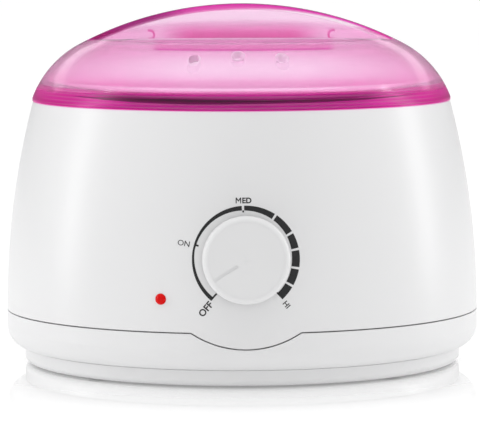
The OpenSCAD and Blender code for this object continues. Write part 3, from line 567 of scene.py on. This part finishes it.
def clear_pink(s):
    """Polished pink plastic, partly clear and partly milky, and deeper in its edges, rim and corners; with
    painted shade of the pot's gap, a painted highlight on the front lip and painted light round the vents.
    """
    look = finishes()
    at = LidPoint(s)
    bar, edge, wall, band = grip_bar(at), bar_edge(s, at), pocket_wall(s, at), rim_band(s, at)
    lip, vents = pocket_lip_highlight(at), vent_marks(s, at)
    ripple = s.noise(scale=30, detail=2)
    facing = s.node("ShaderNodeLayerWeight", {}, {"Blend": 0.3}).out("Facing")
    stripes = (at.z * (2 * math.pi / STRIPE_PITCH)).sine()

    # The dome is deeper where it turns away, at its sides, near the pockets' lips and in the band
    depth = TINT["turned_away"] * facing**TURN_POWER + TINT["ripple"] * ripple
    depth = depth + TINT["sides"] * s.step(at.beside, *SIDES_X) + TINT["dome"] * s.step(at.z, *DOME_Z)
    depth = depth + TINT["limb"] * s.step(at.out, *LIMB_OUT) * (at.y < LIMB_Y)
    depth = depth + TINT["band"] * band + TINT["stripes"] * band * stripes
    depth = depth + TINT["pocket_wall"] * wall + TINT["wall_foot"] * wall * (at.z < POCKET_FLOOR)
    # The vents get painted light, the front lip is left untinted for its painted highlight, and the bar is
    # paler
    depth = depth * (1 - VENT_PAINTED_LIGHT * vents) * (1 - BAR_PALER * bar) * (1 - lip)
    # The face of the grip bar is deeper towards the pocket's floor and in its middle
    middle = 1 - s.step(at.beside, *MIDDLE_X)
    face = bar * s.step(at.z, *FACE_Z) * (TINT["bar_face"] + TINT["bar_middle"] * middle)
    depth = depth + face + TINT["hooks"] * bar_hooks(s, at, bar) + TINT["bar_edge"] * edge
    # Painted shade of the pot's gap seen through the band, and a dark line along the left of the bar's edge
    gap_shade_and_dark_edge = pot_gap_shade(s, at) + EDGE_DARK * edge * s.step(at.x, *EDGE_DARK_X)

    # Each layer covers the one before, in the colour and in the light that comes through alike
    pale = tuple(look.lid_skin)
    bright = tuple(1 - BRIGHT_TINT * (1 - c) for c in pale)
    tint, through = pale, s.translucent(pale)
    # First the pale bar and the front lip's painted highlight, last the painted shade of the pot's gap and
    # the bar's dark edge line
    layers = ((bar + lip, bright), (depth, tuple(look.lid)), (gap_shade_and_dark_edge, tuple(look.lid_dark)))
    for cover, colour in layers:
        share = cover.clamp()
        tint = s.blend(share, tint, colour)
        through = s.mix(share, through, s.translucent(colour))

    # The sunk faces of the pockets are satin
    satin = (at.past_pocket < SATIN_IN) * (at.below > SATIN_BELOW) * (at.across > BAR_Y) * (at.z > BAND_TOP)
    rough = ROUGH["skin"] + ROUGH["haze"] * s.noise(scale=500, detail=2)
    rough = rough + ROUGH["pockets"] * satin + ROUGH["band"] * band
    dent = s.bump(ripple, strength=0.02, distance=0.5 * MM)
    glass = s.principled(Base_Color=tint, IOR=1.3, Roughness=rough, Transmission_Weight=1.0, Normal=dent)
    gloss = s.principled(Base_Color=tint, Roughness=rough + ROUGH["milky"], Normal=dent)
    milky = s.mix(0.5, gloss, through)
    body = s.mix(look.lid_clear * (1 - VENT_MILKY * vents.clamp()), milky, glass)
    open_way = s.node("ShaderNodeBsdfTransparent", {}, {"Color": pale}).out(0)
    shadow = s.node("ShaderNodeLightPath").out("Is Shadow Ray")
    s.finish(s.mix(shadow, body, open_way))


# ---- Finishes of the other parts ----


def metal(colour, rough, scratch):
    """A maker of worn metals, with a fine grain and faint smudges."""

    def build(s):
        smudge = s.noise(scale=55, detail=3)
        grain = s.noise(scale=1400, detail=3)
        s.finish(s.principled(
            Base_Color=s.blend(smudge, colour, darker(colour, 0.86)),
            Metallic=1.0,
            Roughness=rough + 0.1 * grain + 0.08 * smudge,
            Normal=s.bump(grain, strength=scratch, distance=0.05 * MM)))

    return build


def plain(colour, rough, grain=900, peel=0.06):
    """A maker of plain moulded or pressed stuff with a fine grain."""

    def build(s):
        speck = s.noise(scale=grain, detail=3)
        s.finish(s.principled(
            Base_Color=s.blend(s.noise(scale=grain / 8, detail=3), colour, darker(colour, 0.85)),
            Roughness=rough + 0.1 * speck,
            Normal=s.bump(speck, strength=peel, distance=0.1 * MM)))

    return build


def mica_sheet(s):
    """Pressed mica: glittering flakes in a dull binder."""
    inputs = {"Vector": s.coordinates(), "Scale": 420.0}
    flake = s.node("ShaderNodeTexVoronoi", {}, inputs).out("Distance")
    stops = [(0.0, (0.56, 0.44, 0.27)), (0.6, (0.42, 0.31, 0.17)), (1.0, (0.72, 0.6, 0.4))]
    s.finish(s.principled(
        Base_Color=s.ramp(flake, stops),
        Roughness=0.35 + 0.4 * flake,
        Normal=s.bump(flake, strength=0.3, distance=0.2 * MM)))


NODE_FINISHES = {
    "shell": (moulded_shell, ["upper_housing", "base_shell", "bottom_cover"]),
    "knob_plastic": (moulded_knob, ["control_knob"]),
    "lid_plastic": (clear_pink, ["lid"]),
    "foot_rubber": (plain((0.12, 0.12, 0.125), 0.75), ["rubber_feet"]),
    "spun_aluminium": (metal((0.78, 0.79, 0.8), 0.22, 0.12), ["inner_pot", "pot_ears", "ear_rivets"]),
    "zinc_steel": (metal((0.62, 0.63, 0.64), 0.28, 0.1), [
        "heater_well", "heater_strap", "strap_screw", "strap_nut", "heat_shield", "shield_screws",
        "base_screws", "well_screws", "thermostat_frame", "thermostat_nut", "thermostat_shaft",
        "stack_rivet", "knob_spring", "lamp_retainer", "thermal_fuse", "fuse_clip", "terminal_screws"]),
    "plated_wire": (metal((0.83, 0.83, 0.84), 0.1, 0.04), ["bail_handle"]),
    "gasket_fibre": (plain((0.7, 0.68, 0.62), 0.85, 1200, 0.3), ["well_gasket"]),
    "mica": (mica_sheet, ["mica_heater"]),
    "steatite": (plain((0.84, 0.82, 0.76), 0.55), ["ceramic_pin", "insulator_stack"]),
    "copper_alloy": (metal((0.78, 0.5, 0.26), 0.25, 0.06), [
        "contact_spring", "bimetal_strip", "contact_buttons"]),
    "lamp_red": (lamp_red, ["indicator_lens"]),
    "lamp_glass": (plain((0.9, 0.62, 0.45), 0.1), ["neon_lamp"]),
    "resistor_paint": (plain((0.66, 0.5, 0.3), 0.35), ["lamp_resistor"]),
    "block_nylon": (plain((0.8, 0.78, 0.7), 0.5), ["terminal_block"]),
    "black_nylon": (plain((0.02, 0.02, 0.02), 0.45), ["cord_gland", "gland_nut"]),
    "lead_red": (plain((0.5, 0.03, 0.03), 0.5), ["live_lead", "heater_lead"]),
    "lead_blue": (plain((0.04, 0.12, 0.45), 0.5), ["neutral_lead"]),
    "lead_grey": (plain((0.2, 0.2, 0.21), 0.5), ["lamp_leads"]),
}


class WARMER_OT_finishes(bpy.types.Operator):
    """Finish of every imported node"""

    bl_idname = "warmer.finishes"
    bl_label = "Finishes"

    def execute(self, context):
        """Gives each node its material."""
        for name, (build, nodes) in NODE_FINISHES.items():
            for node in nodes:
                slots = frame["nodes"][node].data.materials
                slots.clear()
                slots.append(material(name, build))
        return {"FINISHED"}


# ---- Stage ----

BODY_MIDDLE = (0, 0, 0.07)
LID_MIDDLE = (0, 0, 0.12)
TALL, WIDE, LOW_WIDE = (0.08, 0.8), (0.9, 0.7), (1.5, 0.3)

# Name, place, target, width and height, and the setting that holds the power
LIGHTS = (
    ("left_light", (-0.85, 0.0, 0.3), BODY_MIDDLE, TALL, "streak_power"),
    ("right_light", (0.85, 0.12, 0.3), BODY_MIDDLE, TALL, "streak_power"),
    ("top_light", (0, -0.25, 1.0), BODY_MIDDLE, WIDE, "top_power"),
    ("shoulder_light", (-1.15, 1.9, 0.95), LID_MIDDLE, LOW_WIDE, "shoulder_power"),
    ("shoulder_light", (1.15, 1.9, 0.95), LID_MIDDLE, LOW_WIDE, "shoulder_power"),
)
FLAG_FADE = (0.3, 0.55)

TABLE_HALF = 6
TABLE_GLOW, TABLE_GLOW_SEEN, TABLE_GLOW_STRENGTH = 0.25, 0.35, 1.2
# Painted contact shadow: share of the table's glow left under the foot, and the radii over which it comes
# back
PAINTED_SHADOW_SHARE, PAINTED_SHADOW_FADE = 0.42, (0.080, 0.086)
MIRROR_SHARE, MIRROR_FADE = 0.62, (0.08, 0.20)


def link(name, data):
    """A new object in the scene."""
    made = bpy.data.objects.new(name, data)
    bpy.context.scene.collection.objects.link(made)
    return made


def mesh_of(name, bm):
    """A mesh made of a bmesh, which is freed."""
    mesh = bpy.data.meshes.new(name)
    bm.to_mesh(mesh)
    bm.free()
    return mesh


def make_camera(stage):
    """The camera, on a circle round the body's axis."""
    data = bpy.data.cameras.new("camera")
    data.sensor_width = 36
    data.lens = stage.lens
    data.clip_end = 20
    camera = link("camera", data)
    yaw = Matrix.Rotation(-stage.camera_yaw, 4, "Z")
    place = Matrix.Translation((stage.camera_side, -stage.camera_distance, stage.camera_height))
    look = Matrix.Rotation(math.pi / 2 - stage.camera_pitch, 4, "X")
    roll = Matrix.Rotation(-stage.camera_roll, 4, "Z")
    camera.matrix_world = yaw @ place @ look @ roll
    bpy.context.scene.camera = camera


def white_floor(s):
    """White table: the object's shadow shows on it, deepened by a painted contact shadow under its foot,
    and a mirror image that fades with distance.
    """
    seen = s.node("ShaderNodeLightPath").out("Is Camera Ray")
    apart = s.node("ShaderNodeVectorMath", {"operation": "LENGTH"}, {0: s.coordinates()}).out("Value")
    # Painted contact shadow: the glow dims under the object's foot
    painted_contact_shadow = PAINTED_SHADOW_SHARE + (1 - PAINTED_SHADOW_SHARE) * s.step(apart, *PAINTED_SHADOW_FADE)
    body = s.principled(Base_Color=(0.95, 0.95, 0.95), Roughness=0.5, Specular_IOR_Level=0.0)
    light = {"Color": (1, 1, 1), "Strength": TABLE_GLOW_STRENGTH}
    glow = s.node("ShaderNodeEmission", {}, light).out(0)
    white = s.mix((TABLE_GLOW + TABLE_GLOW_SEEN * seen) * painted_contact_shadow, body, glow)
    mirror = s.node("ShaderNodeBsdfAnisotropic", {}, {"Color": (1, 1, 1), "Roughness": 0.0}).out(0)
    s.finish(s.mix(seen * MIRROR_SHARE * (1 - s.step(apart, *MIRROR_FADE)), white, mirror))


def make_table():
    """A wide white table."""
    bm = bmesh.new()
    bmesh.ops.create_grid(bm, x_segments=1, y_segments=1, size=TABLE_HALF)
    table = link("table", mesh_of("table", bm))
    table.data.materials.append(material("table_white", white_floor))


def area_light(name, place, target, size, power):
    """A soft rectangular light that points at a target and isn't seen through the lid."""
    data = bpy.data.lights.new(name, "AREA")
    data.shape = "RECTANGLE"
    data.size, data.size_y = size
    data.energy = power
    light = link(name, data)
    light.visible_transmission = False
    aim = (Vector(target) - Vector(place)).to_track_quat("-Z", "Y").to_matrix().to_4x4()
    light.matrix_world = Matrix.Translation(place) @ aim


def make_world(stage):
    """An even room: white to the eye, through clear things and in sharp mirrors, dim to gloss behind."""
    world = bpy.data.worlds.new("studio")
    bpy.context.scene.world = world
    s = Shader(world)
    ray = s.node("ShaderNodeLightPath")
    seen = (ray.out("Is Camera Ray") + ray.out("Is Transmission Ray") + ray.out("Is Singular Ray")).clamp()
    back = s.node("ShaderNodeSeparateXYZ", {}, {0: s.node("ShaderNodeTexCoord").out("Generated")}).out("Y")
    flag = s.step(back, *FLAG_FADE) * ray.out("Is Glossy Ray")
    room = s.mix(flag, s.background(stage.world_strength), s.background(stage.flag_strength))
    s.finish(s.mix(seen, room, s.background(1.0)), "ShaderNodeOutputWorld")


class WARMER_OT_stage(bpy.types.Operator):
    """Camera, table and lights"""

    bl_idname = "warmer.stage"
    bl_label = "Stage"

    def execute(self, context):
        """Builds the stage."""
        stage = context.scene.warmer_stage
        make_camera(stage)
        make_table()
        make_world(stage)
        for name, place, target, size, power in LIGHTS:
            area_light(name, place, target, size, getattr(stage, power))
        return {"FINISHED"}


# ---- Pieces ----


def add_piece(name, bm, look, body, smooth_angle=35):
    """Makes an object of a bmesh, gives it its finish and lets it ride on a body."""
    piece = link(name, mesh_of(name, bm))
    piece.data.shade_smooth()
    piece.data.set_sharp_from_angle(angle=math.radians(smooth_angle))
    piece.data.materials.append(look)
    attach(piece, body)
    return piece


# ---- Lid ----


def dome_arcs(margin):
    """Points of the dome's half outline from the crown down, less a margin."""
    x = LID_R + DOME_CLIP - math.sqrt(SHOULDER_R**2 - SHOULDER_DROP**2)
    z = RIM_Z - SHOULDER_DROP
    crown_r, crown_z = crown_arc()
    crown, shoulder = crown_r - margin, SHOULDER_R - margin
    meet = math.atan2(x, z - crown_z)
    low = math.acos((LID_SEAT - z) / shoulder)
    points = [(crown * math.sin(a), crown_z + crown * math.cos(a))
              for a in (meet * i / CROWN_STEPS for i in range(CROWN_STEPS + 1))]
    points += [(x + shoulder * math.sin(a), z + shoulder * math.cos(a))
               for a in (meet + (low - meet) * i / SHOULDER_STEPS for i in range(1, SHOULDER_STEPS + 1))]
    return [(min(r, LID_R - margin), h) for r, h in points]


def spun(points):
    """A closed solid of revolution of a half outline that starts and ends on the axis."""
    bm = bmesh.new()
    line = [bm.verts.new((r, 0, z)) for r, z in points]
    edges = [bm.edges.new(pair) for pair in zip(line, line[1:])]
    bmesh.ops.spin(bm, geom=line + edges, axis=(0, 0, 1), cent=(0, 0, 0), angle=2 * math.pi,
                   steps=TURNS, use_merge=True)
    bmesh.ops.remove_doubles(bm, verts=bm.verts, dist=1e-6)
    bmesh.ops.recalc_face_normals(bm, faces=bm.faces)
    return bm


def pocket_cutter(side, margin):
    """The room of one finger pocket, grown by a margin: the part of a disc beside the grip bar."""
    bm = bmesh.new()
    made = bmesh.ops.create_circle(bm, segments=128, radius=POCKET_R + margin, cap_ends=True)
    bmesh.ops.translate(bm, vec=(0, POCKET_SHIFT, LID_TOP + CUT_ABOVE), verts=made["verts"])
    bmesh.ops.bisect_plane(bm, geom=bm.verts[:] + bm.edges[:] + bm.faces[:],
                           plane_co=(0, margin - GRIP_HALF, 0), plane_no=(0, 1, 0), clear_outer=True)
    made = bmesh.ops.extrude_face_region(bm, geom=bm.faces[:])
    floor = POCKET_FLOOR - margin
    for v in (g for g in made["geom"] if isinstance(g, bmesh.types.BMVert)):
        v.co.z = floor
    rim = [e for e in bm.edges if all(abs(v.co.z - floor) < 1e-6 for v in e.verts)]
    bmesh.ops.bevel(bm, geom=rim, offset=POCKET_ROUND, segments=5, profile=0.5, affect="EDGES",
                    material=-1)
    bmesh.ops.recalc_face_normals(bm, faces=bm.faces)
    if side > 0:
        bmesh.ops.scale(bm, vec=(1, -1, 1), verts=bm.verts)
        bmesh.ops.recalc_face_normals(bm, faces=bm.faces)
    return bm


def cut(bm, cutters):
    """A bmesh less its cutters, by exact booleans."""
    body = link("helper", mesh_of("helper", bm))
    tools = [link("helper", mesh_of("helper", shape)) for shape in cutters]
    for tool in tools:
        modifier = body.modifiers.new("cut", "BOOLEAN")
        modifier.operation = "DIFFERENCE"
        modifier.solver = "EXACT"
        modifier.object = tool
    bpy.context.view_layer.update()
    result = bmesh.new()
    result.from_object(body, bpy.context.evaluated_depsgraph_get())
    for made in (body, *tools):
        bpy.data.objects.remove(made)
    return result


def folds(bm, lowest):
    """The sharply folded edges that lie above a height."""
    return [e for e in bm.edges if e.is_manifold and e.calc_face_angle(0) > LIP_FOLD
            and min(v.co.z for v in e.verts) > lowest]


def by_grip(edge, reach):
    """Whether an edge lies along the grip bar, within a reach of its middle plane."""
    return all(abs(v.co.y) < reach and abs(v.co.x) < GRIP_ROUND_X for v in edge.verts)


def round_edges(bm, edges, radius, segments):
    """Rounds edges, as far as their neighbours leave room."""
    bmesh.ops.bevel(bm, geom=edges, offset=radius, segments=segments, profile=0.5, affect="EDGES",
                    material=-1, clamp_overlap=True)


def round_lips(shell):
    """Rounds the lips of the finger pockets a little, and the long edges of the grip bar more."""
    slack = 0.1 * MM
    lips = [e for e in folds(shell, LIP_LOW) if not by_grip(e, GRIP_HALF + slack)]
    round_edges(shell, lips, LIP_ROUND, segments=3)
    grip = [e for e in folds(shell, GRIP_EDGE_LOW) if by_grip(e, GRIP_HALF + slack / 2)
            and all(abs(v.co.y) > GRIP_HALF - slack / 2 for v in e.verts)]
    round_edges(shell, grip, GRIP_ROUND, segments=4)


def vent_cutter(i):
    """The hole of one steam vent."""
    bm = bmesh.new()
    bmesh.ops.create_cone(bm, cap_ends=True, segments=32, radius1=VENT_R, radius2=VENT_R, depth=VENT_CUT)
    bmesh.ops.translate(bm, vec=(i * VENT_PITCH, -VENT_Y, LID_TOP), verts=bm.verts)
    return bm


class WARMER_OT_lid(bpy.types.Operator):
    """Clear lid with its grip bar, finger pockets, rim band and steam vents"""

    bl_idname = "warmer.lid"
    bl_label = "Lid"

    def execute(self, context):
        """Builds the lid."""
        skirt_line = ((LID_R, LID_SEAT), (SKIRT_OUTER, LID_SEAT), (SKIRT_OUTER, SKIRT_LOW), (0, SKIRT_LOW))
        outer = spun([*dome_arcs(0), *skirt_line])
        hollow_line = [point for point in dome_arcs(LID_WALL) if point[1] > HOLLOW_END]
        mouth = SKIRT_LOW - CUT_CLEAR
        hollow = spun([*hollow_line, *HOLLOW_CORNER, (SKIRT_INNER, mouth), (0, mouth)])
        hollow = cut(hollow, [pocket_cutter(side, LID_WALL) for side in (-1, 1)])
        shell = cut(outer, [pocket_cutter(side, 0.0) for side in (-1, 1)])
        round_lips(shell)
        shell = cut(shell, [hollow])
        for i in (-1, 0, 1):
            shell = cut(shell, [vent_cutter(i)])
        turn = Matrix.Rotation(LID_TURN, 3, "Z")
        bmesh.ops.rotate(shell, verts=shell.verts, cent=(0, 0, 0), matrix=turn)
        look = material("lid_plastic", clear_pink)
        piece = add_piece("clear_lid", shell, look, "lid", smooth_angle=30)
        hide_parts("lid")
        return {"FINISHED"}


# ---- Print of the dial ----

# Angles in degrees clockwise from straight up
RING_START, RING_END = -139.8, 137.8
RING_GAPS = (-3.0, 34.0, 60.0, 79.0, 100.0, 120.0)
RING_THINNEST, RING_COOL_SPAN, RING_HOT_SPAN = -80.0, 60, 170
RING_STEP = 2
SEED_WIDTH = 1 * MM
# Each tick's angle, and how far its ends lie within the ring's radius, in millimetres
TICKS = ((RING_START + 0.9, 0.4, 3.3), (-73.8, 0.3, 1.7), (-3.0, 1.7, 2.35), (RING_END - 0.9, 1.4, 3.7))
TICK_WIDTH = 0.62 * MM

# Name, letters, place right and up of the dial's middle, turn in degrees, height and added weight.
# The words are made in millimetres, and the M is drawn by letter_m.
LABELS = (
    ("label_off", "OFF", -14.46, -17.9, 50, 2.45, 0.08),
    ("label_on", "ON", -22.3, 5.7, -10, 2.05, 0.0),
    ("label_med", "ED", -0.75, 21.15, 0, 1.98, 0.08),
    ("label_hi", "HI", 14.46, -16.4, -50, 1.95, 0.04),
)
SIZE_PER_HEIGHT = 1.4
LETTER_GAP = 0.42
M_WIDTH, M_STROKE = 1.95, 0.34


def on_wall(u, v, height):
    """The point of the front wall that lies u right and v up of the dial's centre, raised by height."""
    z = DIAL[2] + v * math.cos(TILT)
    r = side_r(z)
    slope = math.asin((z - WIDEST_Z) / SIDE_ARC_R)
    y = -math.sqrt(r * r - u * u)
    outward = Vector((u / r * math.cos(slope), y / r * math.cos(slope), math.sin(slope)))
    return Vector((u, y, z)) + outward * height


def clock(radius, degrees):
    """The point u right and v up at a radius, by an angle clockwise from straight up."""
    a = math.radians(degrees)
    return radius * math.sin(a), radius * math.cos(a)


def wrap_print(bm, height):
    """Thickens a flat print and lays it on the front wall."""
    bmesh.ops.remove_doubles(bm, verts=bm.verts, dist=1e-7)
    bmesh.ops.recalc_face_normals(bm, faces=bm.faces)
    made = bmesh.ops.extrude_face_region(bm, geom=list(bm.faces))
    raised = {v for v in made["geom"] if isinstance(v, bmesh.types.BMVert)}
    for v in bm.verts:
        v.co = on_wall(v.co.x, v.co.y, height if v in raised else 0.0)
    bmesh.ops.recalc_face_normals(bm, faces=bm.faces)


def ring_width(degrees):
    """Width of the scale ring: thinnest at the cool side, growing to the hot side."""
    dial = bpy.context.scene.warmer_dial
    past = degrees - RING_THINNEST
    if past < 0:
        return dial.ring_thin - past / RING_COOL_SPAN * dial.ring_thin
    return dial.ring_thin + (dial.ring_thick - dial.ring_thin) * min(1.0, past / RING_HOT_SPAN)


def ring_arc(bm, start, end):
    """One piece of the ring, spun between two angles. A tag marks points that have their width."""
    outer = bpy.context.scene.warmer_dial.ring_r
    edge = [bm.verts.new((*clock(r, start), 0)) for r in (outer - SEED_WIDTH, outer)]
    seed = bm.edges.new(edge)
    bmesh.ops.spin(bm, geom=[*edge, seed], axis=(0, 0, 1), cent=(0, 0, 0),
                   angle=-math.radians(end - start), steps=max(2, round((end - start) / RING_STEP)))
    for v in bm.verts:
        if v.tag:
            continue
        v.tag = True
        degrees = math.degrees(math.atan2(v.co.x, v.co.y))
        if v.co.xy.length < outer - SEED_WIDTH / 2:
            v.co.xy = clock(outer - ring_width(degrees), degrees)


def tick(bm, degrees, inner, outer):
    """A short bar across the ring."""
    made = bmesh.ops.create_grid(bm, x_segments=1, y_segments=3, size=0.5)
    turn = Matrix.Rotation(-math.radians(degrees), 4, "Z")
    place = Matrix.Translation((0, (inner + outer) / 2, 0))
    scale = Matrix.Diagonal((TICK_WIDTH, outer - inner, 1, 1))
    bmesh.ops.transform(bm, matrix=turn @ place @ scale, verts=made["verts"])


class WARMER_OT_dial_print(bpy.types.Operator):
    """Scale ring and its ticks round the knob"""

    bl_idname = "warmer.dial_print"
    bl_label = "Dial print"

    def execute(self, context):
        """Builds the ring."""
        dial = context.scene.warmer_dial
        half_gap = math.degrees(dial.gap_angle) / 2
        bm = bmesh.new()
        starts = [RING_START, *(gap + half_gap for gap in RING_GAPS)]
        ends = [*(gap - half_gap for gap in RING_GAPS), RING_END]
        for start, end in zip(starts, ends):
            ring_arc(bm, start, end)
        for degrees, near, far in TICKS:
            tick(bm, degrees, dial.ring_r - far * MM, dial.ring_r - near * MM)
        wrap_print(bm, dial.ink_height)
        add_piece("dial_ring", bm, material("printed_ink", printed_ink), "housing")
        return {"FINISHED"}


def letter_m(bm):
    """Puts an M before the letters, as tall as they are, and centres the word."""
    low, high = min(v.co.y for v in bm.verts), max(v.co.y for v in bm.verts)
    tall, left = high - low, min(v.co.x for v in bm.verts) - LETTER_GAP - M_WIDTH
    half, inner = M_WIDTH / 2, M_WIDTH - M_STROKE
    armpit, point, notch = 0.7 * tall, 0.28 * tall, 0.56 * tall
    line = [(0, 0), (M_STROKE, 0), (M_STROKE, armpit), (half, point), (inner, armpit), (inner, 0),
            (M_WIDTH, 0), (M_WIDTH, tall), (inner, tall), (half, notch), (M_STROKE, tall), (0, tall)]
    face = bm.faces.new([bm.verts.new((left + x, low + y, 0)) for x, y in line])
    face.normal_update()
    bmesh.ops.triangulate(bm, faces=[face])
    middle = (min(v.co.x for v in bm.verts) + max(v.co.x for v in bm.verts)) / 2
    bmesh.ops.translate(bm, vec=(-middle, 0, 0), verts=bm.verts)


def flat_word(name, letters, height, weight):
    """A word as a flat bmesh, in millimetres."""
    curve = bpy.data.curves.new(name, "FONT")
    curve.body = letters
    curve.size = height * SIZE_PER_HEIGHT
    curve.offset = weight
    curve.align_x = "CENTER"
    curve.align_y = "CENTER"
    curve.resolution_u = 4
    text = link(name, curve)
    bpy.context.view_layer.update()
    bm = bmesh.new()
    bm.from_mesh(bpy.data.meshes.new_from_object(text))
    bpy.data.objects.remove(text)
    return bm


class WARMER_OT_labels(bpy.types.Operator):
    """Words of the dial's scale"""

    bl_idname = "warmer.labels"
    bl_label = "Labels"

    def execute(self, context):
        """Builds each word as a thin print."""
        for name, letters, u, v, turn, height, weight in LABELS:
            bm = flat_word(name, letters, height, weight)
            if name == "label_med":
                letter_m(bm)
            place = Matrix.Translation((u * MM, v * MM, 0)) @ Matrix.Rotation(math.radians(turn), 4, "Z")
            bmesh.ops.transform(bm, matrix=place @ Matrix.Scale(MM, 4), verts=bm.verts)
            wrap_print(bm, context.scene.warmer_dial.ink_height)
            add_piece(name, bm, material("printed_ink", printed_ink), "housing")
        return {"FINISHED"}


# ---- Panel, registration and the run ----


class WARMER_PT_panel(bpy.types.Panel):
    """Lists the warmer's settings and operators"""

    bl_idname = "WARMER_PT_panel"
    bl_label = "Wax warmer"
    bl_space_type = "VIEW_3D"
    bl_region_type = "UI"
    bl_category = "Warmer"

    def draw(self, context):
        """Draws the settings and the buttons."""
        for group in GROUPS:
            settings = getattr(context.scene, group)
            for name in settings.bl_rna.properties.keys():
                if name not in ("rna_type", "name"):
                    self.layout.prop(settings, name)
        for operator in OPERATORS:
            self.layout.operator(operator.bl_idname)


OPERATORS = (WARMER_OT_stage, WARMER_OT_finishes, WARMER_OT_lid, WARMER_OT_dial_print, WARMER_OT_labels)
GROUPS = {"warmer_stage": StageSettings, "warmer_finish": FinishSettings, "warmer_dial": DialSettings}
CLASSES = (*GROUPS.values(), *OPERATORS, WARMER_PT_panel)


def register():
    """Registers the classes and hangs the settings on the scene."""
    for cls in CLASSES:
        bpy.utils.register_class(cls)
    for name, group in GROUPS.items():
        setattr(bpy.types.Scene, name, bpy.props.PointerProperty(type=group))


def unregister():
    """Takes them off again."""
    for name in GROUPS:
        delattr(bpy.types.Scene, name)
    for cls in reversed(CLASSES):
        bpy.utils.unregister_class(cls)


def main():
    """Builds the warmer."""
    register()
    bpy.context.scene.view_settings.view_transform = "Standard"
    for operator in OPERATORS:
        group, name = operator.bl_idname.split(".")
        getattr(getattr(bpy.ops, group), name)()


if __name__ == "__main__":
    main()
